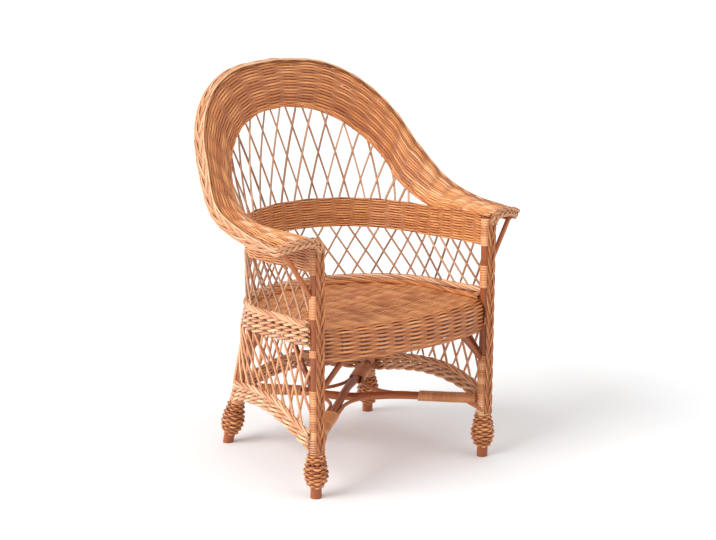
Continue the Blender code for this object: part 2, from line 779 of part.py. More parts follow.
waist_upper_plan = horseshoe(waist_front_half, WAIST_RADIUS, WAIST_CENTRE_DEPTH, waist_front_depth)
waist_lower_plan = horseshoe(waist_front_half, WAIST_RADIUS + WAIST_FLARE, WAIST_CENTRE_DEPTH,
                             waist_front_depth)
waist_upper = [Vector((p.x, p.y, waist_height(p.y))) for p in waist_upper_plan]
waist_lower = [Vector((p.x, p.y, waist_height(q.y) - WAIST_BAND_HEIGHT))
               for p, q in zip(waist_lower_plan, waist_upper_plan)]
BEADED_SECTION = [
    (0.0, -HALF_BAND), (0.0, HALF_BAND), (0.74, HALF_BAND), (0.82, HALF_BAND + WAIST_BEAD),
    (0.94, HALF_BAND + WAIST_BEAD), (1.0, HALF_BAND), (1.0, -HALF_BAND),
]
waist_band = clear_of(band_mesh(waist_lower, waist_upper, BEADED_SECTION), *legs.values())

# Arched bands between the feet: left, right and back
arch_ends = {
    "left": ("front_left", "back_left", Vector((-1, 0, 0)), ARCH_SIDE_BOW),
    "right": ("back_right", "front_right", Vector((1, 0, 0)), ARCH_SIDE_BOW),
    "back": ("back_left", "back_right", Vector((0, 1, 0)), ARCH_BACK_BOW),
}


def arch_edge(word, band_share):
    first, second, outward, bow = arch_ends[word]
    stand_off = LEG_RADIUS * 1.03 + CLEARANCE + HALF_BAND
    edge = []
    for step in range(13):
        share = step / 12
        swell = math.sin(math.pi * share)
        height = ARCH_END_HEIGHT + ARCH_RISE * swell + ARCH_BAND_HEIGHT * band_share
        place = leg_axis(first, height).lerp(leg_axis(second, height), share)
        edge.append(place + outward * (stand_off + bow * swell))
    return edge


arches = {}
for word, (first, second, outward, bow) in arch_ends.items():
    body = band_mesh(arch_edge(word, 0.0), arch_edge(word, 1.0), PLAIN_SECTION)
    arches[word] = clear_of(body, legs[first], legs[second])


# Seat: one woven sheet that rolls over the front rail into the apron
def seat_half_width(depth):
    front_half = FRONT_FOOT_HALF_SPACING - LEG_RADIUS - APRON_SIDE_GAP
    radius = WAIST_RADIUS - HALF_BAND - SEAT_EDGE_MARGIN
    if depth > WAIST_CENTRE_DEPTH:
        return math.sqrt(max(radius ** 2 - (depth - WAIST_CENTRE_DEPTH) ** 2, 0.0))
    return front_half + (radius - front_half) * ease((depth - 0.02) / 0.08)


def seat_profile():
    """(depth, height, share of the front bulge, way out of the sheet) from apron to back."""
    stations = []
    face = -APRON_FORWARD
    roll_height = SEAT_FRONT_HEIGHT - APRON_ROLL
    for step in range(APRON_ROWS):
        height = APRON_BOTTOM_HEIGHT + (roll_height - APRON_BOTTOM_HEIGHT) * step / APRON_ROWS
        stations.append((face, height, 1.0, Vector((0, -1, 0))))
    for step in range(5):
        angle = math.pi / 2 * step / 4
        way = Vector((0, -math.cos(angle), math.sin(angle)))
        stations.append((face + APRON_ROLL + APRON_ROLL * way.y, roll_height + APRON_ROLL * way.z, 1.0, way))
    back = WAIST_CENTRE_DEPTH + (WAIST_RADIUS - HALF_BAND - SEAT_EDGE_MARGIN) * 0.97
    start = face + APRON_ROLL
    for step in range(1, SEAT_ROWS + 1):
        depth = start + (back - start) * step / SEAT_ROWS
        share = 1 - ease((depth - start) / 0.22)
        stations.append((depth, seat_height(depth), share, UP))
    return stations


def seat_mesh():
    rings = []
    for row, (depth, height, bulge, way) in enumerate(seat_profile()):
        half = seat_half_width(depth)
        top, under = [], []
        for column in range(SEAT_COLUMNS + 1):
            x = half * (2 * column / SEAT_COLUMNS - 1)
            forward = APRON_BULGE * bulge * (1 - (x / half) ** 2)
            place = Vector((x, depth - forward, height))
            top.append(place - way * sunk(row, column, SEAT_COLUMNS))
            under.append(place - way * SEAT_THICKNESS)
        rings.append(top + under[::-1])
    return loft(rings)


seat = clear_of(faceted(seat_mesh()), *front_posts, *rails.values(), *bars.values(), *plaits.values())


# Lattices: two families of thin rods that cross on a surface between two edges
def facing(surface, u, v, reach, rise):
    """Way out of the surface at (u, v), from points a small share of a rod's run away."""
    along = surface(u + FACING_SHARE * abs(reach), v) - surface(u - FACING_SHARE * abs(reach), v)
    upward = surface(u, v + FACING_SHARE * rise) - surface(u, v - FACING_SHARE * rise)
    return along.cross(upward).normalized()


def lattice_mesh(surface, runs, steps):
    """Union of rods that lean both ways and lap where they cross; surface(u, v) gives the points.

    Every run is (lean, radius, start, end), with start and end as (u, v) pairs.
    """
    families = []
    for side in (1, -1):
        rods = bmesh.new()
        for lean, radius, (u, v), (u_end, v_end) in runs:
            if lean != side:
                continue
            reach, rise = u_end - u, v_end - v
            path, ridges = [], []
            for k in range(steps + 1):
                place = (u + reach * k / steps, v + rise * k / steps)
                ridges.append(facing(surface, *place, reach, rise))
                path.append(surface(*place) + ridges[-1] * lean * LATTICE_LAP)
            rods.from_mesh(tube(path, radius, sides=4, first_side=ridges[0]))
        mesh = bpy.data.meshes.new("family")
        rods.to_mesh(mesh)
        rods.free()
        families.append(mesh)
    net = combine(families[0], families[1], "UNION")
    largest_body(net)
    return net


def ruled(lower, upper):
    """Surface between two edge lines: u is the share of their length, v the share of the rise."""
    low_lengths = measured(lower)
    high_lengths = measured(upper)

    def surface(u, v):
        below = at(lower, low_lengths, u * low_lengths[-1])
        above = at(upper, high_lengths, u * high_lengths[-1])
        return below.lerp(above, v)

    return surface


def ruled_runs(lower, upper, pitch, span_pitches):
    """Rods of a ruled lattice, stopped short of its two ends and seated on both edges."""
    count = max(4, round(measured(lower)[-1] / pitch))
    span = span_pitches / count
    middle = len(lower) // 2
    seat_gap = LATTICE_SEAT_GAP / (upper[middle] - lower[middle]).length
    first, last = LATTICE_END / measured(lower)[-1], 1 - LATTICE_END / measured(lower)[-1]
    runs = []
    for lean in (1, -1):
        for k in range(-2, count + 2):
            u = (k + 0.5) / count
            stops = sorted((limit - u) / (lean * span) for limit in (first, last))
            v, v_end = max(seat_gap, stops[0]), min(1 - seat_gap, stops[1])
            if v_end - v > LATTICE_SHORTEST:
                ends = [(u + lean * span * share, share) for share in (v, v_end)]
                runs.append((lean, LATTICE_RADIUS, *ends))
    return runs


# Lower lattice, from the waist band up to the mid band
lower_runs = ruled_runs(waist_upper, mid_lower, LOWER_PITCH, LOWER_SPAN_PITCHES)
lower_lattice = lattice_mesh(ruled(waist_upper, mid_lower), lower_runs, 2)

# Upper lattice, from the mid band up to the rim's inner edge
opening_steps = 24
opening_edge = both_sides([opening_outline(90 * step / opening_steps) for step in range(opening_steps + 1)])
opening_centre = Vector((0, MID_BAND_CENTRE_DEPTH, 0))


def bearing(point):
    return math.atan2(point.y - opening_centre.y, point.x)


def opening_sides(angle):
    """Foot on the mid band and head on the rim at a bearing round the back."""
    foot = opening_centre + MID_BAND_RADIUS * Vector((math.cos(angle), math.sin(angle), 0))
    foot.z = mid_top(foot.y)
    spans = list(zip(opening_edge, opening_edge[1:]))
    near, far = next(((a, b) for a, b in spans if bearing(b) >= angle), spans[-1])
    head = near.lerp(far, (angle - bearing(near)) / (bearing(far) - bearing(near)))
    return foot, head


def opening_height(angle):
    foot, head = opening_sides(angle)
    return max((head - foot).length, LATTICE_TUCK)


def upper_surface(angle, height):
    """Point at a bearing, a height up the slope from the mid band towards the rim."""
    foot, head = opening_sides(angle)
    return foot.lerp(head, height / opening_height(angle))


def upper_runs():
    """Rods that keep one slope and stop where they meet the rim."""
    first = bearing(opening_edge[0]) + UPPER_END
    last = math.pi - first
    rows = int((last - math.pi / 2) / UPPER_PITCH)
    slope = UPPER_SPAN / opening_height(math.pi / 2)
    runs = []
    for lean in (1, -1):
        for k in range(-rows, rows + 1):
            start = math.pi / 2 + k * UPPER_PITCH
            angle, height = start, 0.0
            while first < angle < last and height < opening_height(angle):
                height += UPPER_STRIDE
                angle = start + lean * slope * height
            if height > UPPER_SHORTEST:
                stout = rows - 3 <= k * lean < rows
                radius = STOUT_LATTICE_RADIUS if stout else LATTICE_RADIUS
                ends = [(start + lean * slope * rise, rise) for rise in (-LATTICE_TUCK, height + LATTICE_TUCK)]
                runs.append((lean, radius, *ends))
    return runs


upper_lattice = lattice_mesh(upper_surface, upper_runs(), 4)
upper_lattice = clear_of(upper_lattice, mid_band, rim)

# Skirt lattices, from the arched bands up to the waist band
leg_foot = back_axis(1, ARCH_END_HEIGHT)
leg_bearing = math.atan2(leg_foot.y - WAIST_CENTRE_DEPTH, leg_foot.x)


def waist_stretch(word):
    """The part of the waist band's lower edge above one arched band, in the arch's order."""
    if word == "back":
        picked = [p for p in waist_lower if leg_bearing <= math.atan2(p.y - WAIST_CENTRE_DEPTH, p.x)
                  <= math.pi - leg_bearing]
        return picked[::-1]
    side = SIDES[word]
    picked = [p for p in waist_lower if p.x * side > 0
              and math.atan2(p.y - WAIST_CENTRE_DEPTH, abs(p.x)) <= leg_bearing]
    return picked[::-1]


skirts = {}
for word, (first, second, outward, bow) in arch_ends.items():
    below = arch_edge(word, 1.0)
    above = waist_stretch(word)
    skirts[word] = lattice_mesh(ruled(below, above),
                                ruled_runs(below, above, SKIRT_PITCH, SKIRT_SPAN_PITCHES), 3)

# Name every piece
for corner, mesh in legs.items():
    finish("leg_" + corner, mesh, DARK_WILLOW, 0.5)
for corner, mesh in socks.items():
    finish("foot_sock_" + corner, mesh, BUFF_WILLOW)
for place, mesh in bindings.items():
    finish("post_binding_" + place, mesh, PALE_WILLOW)
for word, mesh in rails.items():
    finish("seat_rail_" + word, mesh, DARK_WILLOW)
for word, mesh in bars.items():
    finish("seat_bar_" + word, mesh, DARK_WILLOW)
for word, mesh in stretchers.items():
    finish("cross_stretcher_" + word, mesh, DARK_WILLOW)
for word, mesh in bows.items():
    finish("stretcher_bow_" + word, mesh, DARK_WILLOW)
for corner, mesh in wraps.items():
    finish("stretcher_wrap_" + corner, mesh, PALE_WILLOW)
for place, mesh in knees.items():
    finish("knee_brace_" + place, mesh, DARK_WILLOW)
for word, mesh in arm_braces.items():
    finish("arm_brace_" + word, mesh, DARK_WILLOW)
for word, mesh in plaits.items():
    finish("post_plait_" + word, mesh, BUFF_WILLOW)
for word, mesh in arches.items():
    finish("arch_band_" + word, mesh, PALE_WILLOW)
for word, mesh in skirts.items():
    finish("skirt_lattice_" + word, mesh, BUFF_WILLOW)
finish("hoop_rod", hoop_rod, DARK_WILLOW)
finish("rim_weave", rim, BUFF_WILLOW)
finish("rim_border_plait", border, PALE_WILLOW)
finish("mid_band", mid_band, BUFF_WILLOW)
finish("waist_band", waist_band, PALE_WILLOW)
finish("seat_weave", seat, BUFF_WILLOW)
finish("lower_lattice", lower_lattice, BUFF_WILLOW)
finish("upper_lattice", upper_lattice, BUFF_WILLOW)

# Centre the chair on its footprint
depths = [vert.co.y for piece in root.children for vert in piece.data.vertices]
root.location = (0, -(min(depths) + max(depths)) / 2, 0)
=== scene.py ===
# %% [markdown]
# # A wicker armchair, rod by rod
#
# Every woven part of this chair is made as a basket maker makes it: from separate willow rods that pass
# over and under each other. The imported solids give the places and sizes, and this file lays the rods along
# them. Loading leaves the solids selected, and an operator acts on all that is selected, so they are
# deselected.

# %% Load the imported chair
import math

import bpy
import numpy as np
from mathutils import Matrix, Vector


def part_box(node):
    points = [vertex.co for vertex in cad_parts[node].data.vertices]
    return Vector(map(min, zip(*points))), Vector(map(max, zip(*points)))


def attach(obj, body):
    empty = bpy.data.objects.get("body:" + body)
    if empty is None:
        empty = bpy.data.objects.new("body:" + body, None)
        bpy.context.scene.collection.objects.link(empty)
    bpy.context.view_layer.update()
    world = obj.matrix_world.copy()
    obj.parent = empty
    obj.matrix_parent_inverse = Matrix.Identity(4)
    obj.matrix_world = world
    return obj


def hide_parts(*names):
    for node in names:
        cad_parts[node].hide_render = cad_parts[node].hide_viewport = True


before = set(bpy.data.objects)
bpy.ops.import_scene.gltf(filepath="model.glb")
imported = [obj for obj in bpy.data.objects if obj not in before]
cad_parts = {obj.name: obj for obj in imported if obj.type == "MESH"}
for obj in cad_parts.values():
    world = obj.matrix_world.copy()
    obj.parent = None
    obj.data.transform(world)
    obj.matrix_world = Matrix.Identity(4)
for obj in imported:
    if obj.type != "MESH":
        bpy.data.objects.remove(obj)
bpy.ops.object.select_all(action="DESELECT")
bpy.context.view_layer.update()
print("loaded", len(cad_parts), "solids")

# %% [markdown]
# ## Sizes
#
# These repeat the chair's own sizes, in metres. A size that only one piece needs stands beside that piece.
# Depth counts backwards from the front feet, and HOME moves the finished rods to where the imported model
# stands. One seeded generator gives the rods their small differences, so every run is the same.

# %% Sizes of the chair
LEG_RADIUS, FRONT_HALF, FRONT_LEAN = 0.0135, 0.250, 0.004
BACK_FOOT, BACK_TOP, BACK_LEG_HEIGHT = np.array([0.219, 0.453]), np.array([0.172, 0.375]), 0.36826
ARM_HEIGHT, RIM_THICKNESS, OPENING_SPRING = 0.618, 0.009, 0.317
MID_RADIUS, MID_CENTRE, MID_HEIGHT, MID_DROP = 0.247, 0.235, 0.072, 0.018
WAIST_RADIUS, WAIST_CENTRE = 0.256, 0.215
SEAT_FRONT, SEAT_SLOPE, SEAT_THICKNESS = 0.408, 0.075, 0.010
CLEARANCE = 0.0003
POST_TOP = ARM_HEIGHT - RIM_THICKNESS / 2 - 4 * CLEARANCE
SIDES = {"left": -1, "right": 1}
CORNERS = ("front_left", "front_right", "back_left", "back_right")
HOME = np.array([0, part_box("leg_front_right")[1].y - LEG_RADIUS, 0])
UP = np.array([0.0, 0.0, 1.0])
rng = np.random.default_rng(12)
print("front feet stand at y", round(HOME[1], 4))

# %% [markdown]
# ## Lines
#
# A rod needs a line to follow. Blender's curves can draw one, but a weave has to push thousands of points,
# so a line here is an array. `spline` draws a smooth one through a few points, `even` spaces its points
# out, and `squared` finds the ways across it.


# %% Lines
def unit(a):
    return a / np.maximum(np.linalg.norm(a, axis=-1, keepdims=True), 1e-12)


def ease(t):
    """Go smoothly from 0 to 1."""
    t = np.clip(t, 0.0, 1.0)
    return t * t * (3 - 2 * t)


def spline(points, per_span=12):
    """Smooth curve through the points."""
    points = np.array(points, float)
    chain = np.vstack([2 * points[0] - points[1], points, 2 * points[-1] - points[-2]])
    t = (np.arange(per_span) / per_span)[:, None]
    spans = [0.5 * (2 * b + (c - a) * t + (2 * a - 5 * b + 4 * c - d) * t ** 2
                    + (3 * b - a - 3 * c + d) * t ** 3)
             for a, b, c, d in zip(chain, chain[1:], chain[2:], chain[3:])]
    return np.vstack(spans + [points[-1:]])


def lengths(path):
    """Distance of every point from the line's start."""
    return np.concatenate([[0.0], np.cumsum(np.linalg.norm(np.diff(path, axis=0), axis=1))])


def along(path, shares, values=None):
    """Points at shares of a line's length, or other values that belong to its points."""
    run = lengths(path) / lengths(path)[-1]
    values = path if values is None else values
    return np.stack([np.interp(shares, run, values[:, axis]) for axis in range(3)], axis=-1)


def even(path, step):
    """The same line with points one step apart."""
    count = max(int(lengths(path)[-1] / step), 2)
    return along(path, np.linspace(0, 1, count + 1))


def squared(path, out):
    """The ways out, turned square to a line, and the ways across it."""
    ahead = unit(np.gradient(path, axis=0))
    out = unit(out - ahead * np.sum(out * ahead, axis=1, keepdims=True))
    return out, np.cross(ahead, out)


def spokes(angle, across, upper):
    """Ways out round a rod, one for each angle."""
    return across * np.cos(angle)[:, None] + upper * np.sin(angle)[:, None]


def winding(start, end, angle, across, upper, radius):
    """A line wound round the axis from start to end, and its ways out."""
    spoke = spokes(angle, across, upper)
    return start + (end - start) * (angle / angle[-1])[:, None] + spoke * radius, spoke


def rounded(path, reach=4):
    """The same points with sharp corners rounded off, by averaging each with its neighbours."""
    padded = np.vstack([np.repeat(path[:1], reach, 0), path, np.repeat(path[-1:], reach, 0)])
    return sum(padded[k:k + len(path)] for k in range(2 * reach + 1)) / (2 * reach + 1)


def cut_up(count, number):
    """Point numbers of a line cut into several rods, each up to the first point of the next."""
    for part in np.array_split(np.arange(count), number):
        yield np.arange(part[0], min(part[-1] + 2, count))


def mirrored(curve):
    """Carry a right-hand curve that ends on the middle plane over to the left."""
    return np.vstack([curve, curve[-2::-1] * (-1, 1, 1)])


print("line tools ready")

# %% [markdown]
# ## Sheets
#
# A weave needs a surface to lie on. `Sheet` is a grid of points with a way out of the surface at each, so
# that a rod can be lifted in front of a stake or pushed behind it. A mesh has normals too, but a grid can
# be read at any share along and across it.


# %% Sheets
class Sheet:
    """Surface through a grid of points: u runs along it and v across it, both from 0 to 1."""

    def __init__(self, grid):
        self.grid = np.array(grid, float)
        self.normals = unit(np.cross(np.gradient(self.grid, axis=0), np.gradient(self.grid, axis=1)))
        self.length = lengths(self.grid[:, self.grid.shape[1] // 2])[-1]
        self.widths = np.linalg.norm(np.diff(self.grid, axis=1), axis=2).sum(axis=1)
        self.width = self.widths[len(self.widths) // 2]

    def read(self, table, u, v):
        rows, columns = self.grid.shape[:2]
        a, b = np.broadcast_arrays(np.asarray(u) * (rows - 1), np.asarray(v) * (columns - 1))
        i = np.clip(a.astype(int), 0, rows - 2)
        j = np.clip(b.astype(int), 0, columns - 2)
        s, t = (a - i)[..., None], (b - j)[..., None]
        return ((1 - s) * ((1 - t) * table[i, j] + t * table[i, j + 1])
                + s * ((1 - t) * table[i + 1, j] + t * table[i + 1, j + 1]))

    def at(self, u, v, lift=0.0):
        return self.read(self.grid, u, v) + self.out(u, v) * np.asarray(lift)[..., None]

    def out(self, u, v):
        return unit(self.read(self.normals, u, v))

    def width_at(self, u):
        return np.interp(u, np.linspace(0, 1, len(self.widths)), self.widths)


def between(lower, upper, rows=5, count=200):
    """Flat sheet between two edge lines."""
    shares = np.linspace(0, 1, count)
    low, high = along(np.array(lower), shares), along(np.array(upper), shares)
    v = np.linspace(0, 1, rows)[None, :, None]
    return Sheet(low[:, None] * (1 - v) + high[:, None] * v)


print("sheets ready")

# %% [markdown]
# ## Shader maths
#
# A shader can be drawn node by node, but in a script its sums get hard to read. This wrapper lets them be
# typed as sums: every operator adds the Math node that does it.


# %% Shader maths
class Value:
    """An output socket that can be used in plain arithmetic."""

    def __init__(self, tree, socket):
        self.tree, self.socket = tree, socket

    def maths(self, operation, first, second):
        node = self.tree.nodes.new("ShaderNodeMath")
        node.operation = operation
        for slot, value in zip(node.inputs, (first, second)):
            connect(self.tree, value, slot)
        return Value(self.tree, node.outputs[0])

    def __add__(self, other):
        return self.maths("ADD", self, other)

    def __sub__(self, other):
        return self.maths("SUBTRACT", self, other)

    def __rsub__(self, other):
        return self.maths("SUBTRACT", other, self)

    def __mul__(self, other):
        return self.maths("MULTIPLY", self, other)

    __radd__ = __add__
    __rmul__ = __mul__


def connect(tree, value, slot):
    if isinstance(value, Value):
        tree.links.new(value.socket, slot)
    else:
        slot.default_value = value


class Nodes:
    """A material's node tree, with one method that adds any node: settings first, then inputs."""

    def __init__(self, name):
        self.material = bpy.data.materials.new(name)
        self.material.use_nodes = True
        self.tree = self.material.node_tree
        self.shader = self.tree.nodes["Principled BSDF"]

    def add(self, kind, settings, inputs, output=0):
        node = self.tree.nodes.new("ShaderNode" + kind)
        for key, value in settings.items():
            if key == "stops":
                self.set_stops(node.color_ramp.elements, value)
            else:
                setattr(node, key, value)
        for key, value in inputs.items():
            connect(self.tree, value, node.inputs[key])
        return Value(self.tree, node.outputs[output])

    def set_stops(self, elements, stops):
        """Give a colour ramp its (place, colour) stops."""
        while len(elements) < len(stops):
            elements.new(1.0)
        for element, (place, colour) in zip(elements, stops):
            element.position, element.color = place, (*colour, 1.0)

    def feed(self, **inputs):
        """Set or link the shader's own sockets, whose names are written with underscores."""
        for key, value in inputs.items():
            connect(self.tree, value, self.shader.inputs[key.replace("_", " ")])


print("shader maths ready")

# %% [markdown]
# ## Willow
#
# Peeled and boiled willow is a warm buff. Each rod differs a little from the next, and fine fibres run along
# it. A painted shade darkens it where it lies deep in the weave and on sides turned from view. The shader
# reads `tone` (a rod's own shade), `recess` (how deep the spot lies in the weave, which sets the painted
# shade) and `strand` (the place along and round the rod). An image could show fibres too, but noise
# stretched along the rod fits any rod.

# %% Willow material
FIBRE_SCALE, FIBRE_SPREAD = (26.0, 2.6, 2.6), 37.0
PATCH_SCALE, PATCH_SPREAD = (9.0, 0.5, 0.5), 53.0
SHADE_PLACES = (0.042, 0.336, 0.644, 0.90)
BONE, DEEP_SHADOW = (1.0, 0.88, 0.74), (0.18, 0.07, 0.03, 1.0)


def willow(name, shades, roughness, deep=0.5, coat=0.0):
    """Willow in a dark, a middle and a light shade; deep is how strongly painted shade darkens a recess."""
    m = Nodes(name)
    tone = m.add("Attribute", {"attribute_name": "tone"}, {}, "Fac")
    recess = m.add("Attribute", {"attribute_name": "recess"}, {}, "Fac")
    strand = m.add("Attribute", {"attribute_name": "strand"}, {}, "Vector")
    grain = m.add("VectorMath", {"operation": "MULTIPLY"}, {0: strand, 1: FIBRE_SCALE})
    streak = m.add("TexNoise", {"noise_dimensions": "4D"},
                   {"Vector": grain, "W": tone * FIBRE_SPREAD, "Scale": 1.0, "Detail": 4.0,
                    "Roughness": 0.6})
    patch = m.add("VectorMath", {"operation": "MULTIPLY"}, {0: strand, 1: PATCH_SCALE})
    mottle = m.add("TexNoise", {"noise_dimensions": "4D"},
                   {"Vector": patch, "W": tone * PATCH_SPREAD, "Scale": 1.0, "Detail": 2.0})
    shade = tone * 0.62 + streak * 0.42 + mottle * 0.36 - 0.20
    # The palest stop mixes the light shade with BONE. Tones above 1 reach it, partly as willow faded pale
    # and partly as a painted highlight.
    pale_and_sheen = tuple(0.5 * (channel + bone) for channel, bone in zip(shades[-1], BONE))
    stops = list(zip(SHADE_PLACES, (*shades, pale_and_sheen)))
    colour = m.add("ValToRGB", {"stops": stops}, {0: shade * 0.7})
    # Painted shade: recess times deep multiplies the colour towards DEEP_SHADOW.
    shadowed = m.add("Mix", {"data_type": "RGBA", "blend_type": "MULTIPLY"},
                     {0: recess * deep, 6: colour, 7: DEEP_SHADOW}, 2)
    fibres = m.add("Bump", {}, {"Strength": 0.25, "Distance": 0.0006, "Height": streak})
    m.feed(Base_Color=shadowed, Roughness=roughness - 0.10 + streak * 0.2, Normal=fibres,
           Coat_Weight=coat, Coat_Roughness=0.3)
    return m.material


FRAME_SHADES = (0.12, 0.028, 0.009), (0.37, 0.096, 0.027), (0.62, 0.225, 0.072)
WOVEN_SHADES = (0.32, 0.086, 0.022), (0.62, 0.210, 0.060), (0.90, 0.42, 0.155)
PALE_SHADES = (0.40, 0.145, 0.055), (0.77, 0.365, 0.170), (0.95, 0.64, 0.38)
CANE_SHADES = (0.40, 0.13, 0.045), (0.72, 0.31, 0.125), (0.90, 0.52, 0.27)
LATTICE_SHADES = (0.20, 0.085, 0.042), (0.45, 0.215, 0.110), (0.72, 0.44, 0.26)
materials = {
    "frame_rods": willow("frame_willow", FRAME_SHADES, roughness=0.38),
    "woven_willow": willow("woven_willow", WOVEN_SHADES, roughness=0.40, deep=0.80, coat=0.15),
    "pale_willow": willow("pale_willow", PALE_SHADES, roughness=0.38, deep=0.75, coat=0.5),
    "cane_binding": willow("cane_binding", CANE_SHADES, roughness=0.34, deep=0.6),
    "lattice_rods": willow("lattice_willow", LATTICE_SHADES, roughness=0.40),
}
print("made", len(materials), "willow materials")

# %% [markdown]
# ## Finishing a piece
#
# Every piece ends the same way: what the willow reads is stored on its points, it is shaded smooth and it
# gets its material. Vertex colours could hold those values, but attributes keep their own names. The piece
# then rides on the chair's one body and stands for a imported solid.


# %% Finishing a piece
def paint(mesh, tones, deeps, places):
    """Store what the willow material reads at every point of the rods."""
    for name, kind, field, values in (("tone", "FLOAT", "value", tones), ("recess", "FLOAT", "value", deeps),
                                      ("strand", "FLOAT_VECTOR", "vector", places)):
        layer = mesh.attributes.new(name, kind, "POINT")
        layer.data.foreach_set(field, np.asarray(values, np.float32).ravel())


def choose(piece):
    """Select one object alone, for the operators that follow."""
    bpy.ops.object.select_all(action="DESELECT")
    piece.select_set(True)
    bpy.context.view_layer.objects.active = piece


def add_object(name, data):
    piece = bpy.data.objects.new(name, data)
    bpy.context.collection.objects.link(piece)
    return piece


def dress(piece, slot, nodes):
    """Smooth shading, material and place in the frame for a finished piece."""
    choose(piece)
    bpy.ops.object.shade_smooth_by_angle(angle=math.radians(60))
    piece.data.materials.clear()
    piece.data.materials.append(materials[slot])
    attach(piece, "root")
    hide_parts(*nodes)
    print(piece.name, len(piece.data.polygons), "faces")


print("finishing tools ready")

# %% [markdown]
# ## Thin rods
#
# A woven part has hundreds of thin rods. Each could be a bevelled curve, but that many objects are slow,
# and a converted curve keeps no place along the rod. So `Bundle` sweeps them all into one mesh, and stores
# each rod's shade and places. A side that faces into the weave is darkened with painted shade.

# %% Thin rods
END_TAPER, EDGE_SHADE, FACING_SHADE = 0.72, 0.44, 0.86


class Bundle:
    """Rods and flat strips that become one mesh."""

    def __init__(self):
        self.points, self.quads, self.tones, self.deeps, self.places = [], [], [], [], []
        self.count = 0

    def rod(self, path, out, wide, thick, tone=None, recess=0.0, facing=None, sides=8):
        """Sweep an oval along a path; out is the way the thickness points.

        facing says how far that side is in view, from 1 in front to -1 behind, and paints shade on the
        hidden side.
        """
        path = np.asarray(path, float)
        count = len(path)
        out, across = squared(path, np.broadcast_to(np.asarray(out, float), path.shape))
        ends = np.ones(count)
        ends[[0, -1]] = END_TAPER
        turn = 2 * np.pi * np.arange(sides) / sides
        wide = (np.broadcast_to(wide, count) * ends)[:, None, None]
        thick = (np.broadcast_to(thick, count) * ends)[:, None, None]
        ring = (path[:, None] + across[:, None] * np.cos(turn)[None, :, None] * wide
                + out[:, None] * np.sin(turn)[None, :, None] * thick)
        index = self.count + np.arange(count * sides).reshape(count, sides)
        near, far = index[:-1], index[1:]
        body = np.stack([near, far, np.roll(far, -1, 1), np.roll(near, -1, 1)], -1).reshape(-1, 4)
        fan = [(0, k, k + 1, k + 2) for k in range(1, sides - 2, 2)]
        caps = [index[0][list(f)] for f in fan] + [index[-1][list(f[::-1])] for f in fan]
        place = np.empty((count, sides, 3))
        place[..., 0] = lengths(path)[:, None]
        place[..., 1] = np.cos(turn)
        place[..., 2] = np.sin(turn)
        deep = np.broadcast_to(recess, count)[:, None] + np.zeros(sides)
        # Painted shade: the side turned away from view gets a deeper recess, and so a darker colour.
        if facing is not None:
            view = np.broadcast_to(facing, count)[:, None] * np.sin(turn)
            deep = deep + np.clip(EDGE_SHADE - FACING_SHADE * view, 0, 1)
        self.points.append(ring.reshape(-1, 3))
        self.quads.append(np.vstack([body, np.array(caps)]))
        self.tones.append(np.full(count * sides, rng.uniform(0.1, 0.95) if tone is None else tone))
        self.deeps.append(np.clip(deep, 0, 1).ravel())
        self.places.append(place.reshape(-1, 3))
        self.count += count * sides

    def make(self, name, slot, *nodes):
        """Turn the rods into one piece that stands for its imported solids."""
        mesh = bpy.data.meshes.new(name)
        mesh.from_pydata(np.vstack(self.points) + HOME, [], np.vstack(self.quads))
        paint(mesh, np.concatenate(self.tones), np.concatenate(self.deeps), np.vstack(self.places))
        dress(add_object(name, mesh), slot, nodes)


print("thin rods ready")

# %% [markdown]
# ## Thick rods
#
# A thick rod of the frame is a curve with a round bevel, turned into a mesh, which gives clean capped
# ends. A stretched cylinder would be too even, so the radius swells a little along the curve, and here and
# there more, as at a knot.

# %% Thick rods
ROD_STEP, SWELL, SWELL_PACE, KNOT_SWELL, KNOT_CHANCE = 0.012, 0.018, 0.9, 0.05, 0.06


def round_curve(name, path, radius):
    """A bevelled curve with the small swellings of willow."""
    curve = bpy.data.curves.new(name, "CURVE")
    curve.dimensions = "3D"
    curve.bevel_depth = radius
    curve.bevel_resolution = 6
    curve.use_fill_caps = True
    line = curve.splines.new("POLY")
    line.points.add(len(path) - 1)
    line.points.foreach_set("co", np.hstack([path, np.ones((len(path), 1))]).astype(np.float32).ravel())
    waves = SWELL * np.sin(np.arange(len(path)) * SWELL_PACE + rng.uniform(0, 6))
    swell = 1 + waves + KNOT_SWELL * (rng.random(len(path)) < KNOT_CHANCE)
    line.points.foreach_set("radius", swell.astype(np.float32))
    return curve


def bent_rod(name, path, radius, node, tone=0.5, flat_foot=False):
    """One thick rod of the frame; a flat foot stands on the floor."""
    path = even(np.asarray(path, float), ROD_STEP) + HOME
    piece = add_object(name, round_curve(name, path, radius))
    choose(piece)
    bpy.ops.object.convert(target="MESH")
    bpy.ops.object.mode_set(mode="EDIT")
    bpy.ops.mesh.select_all(action="SELECT")
    bpy.ops.mesh.remove_doubles(threshold=1e-5)
    bpy.ops.mesh.normals_make_consistent(inside=False)
    bpy.ops.object.mode_set(mode="OBJECT")
    mesh = piece.data
    spots = np.array([vert.co for vert in mesh.vertices])
    near = np.argmin(np.linalg.norm(spots[:, None] - path[None], axis=2), axis=1)
    ahead = unit(np.gradient(path, axis=0))
    side = unit(np.cross(ahead, np.eye(3)[np.argmin(np.abs(ahead).max(axis=0))]))
    upper = np.cross(ahead, side)
    spoke = (spots - path[near]) / radius
    aside, above = np.sum(spoke * side[near], 1), np.sum(spoke * upper[near], 1)
    places = np.stack([lengths(path)[near], aside, above], -1)
    paint(mesh, np.full(len(spots), tone), np.zeros(len(spots)), places)
    if flat_foot:
        for vert, step in zip(mesh.vertices, near):
            if step == 0:
                vert.co.z = 0.0
    dress(piece, "frame_rods", [node])


print("thick rods ready")

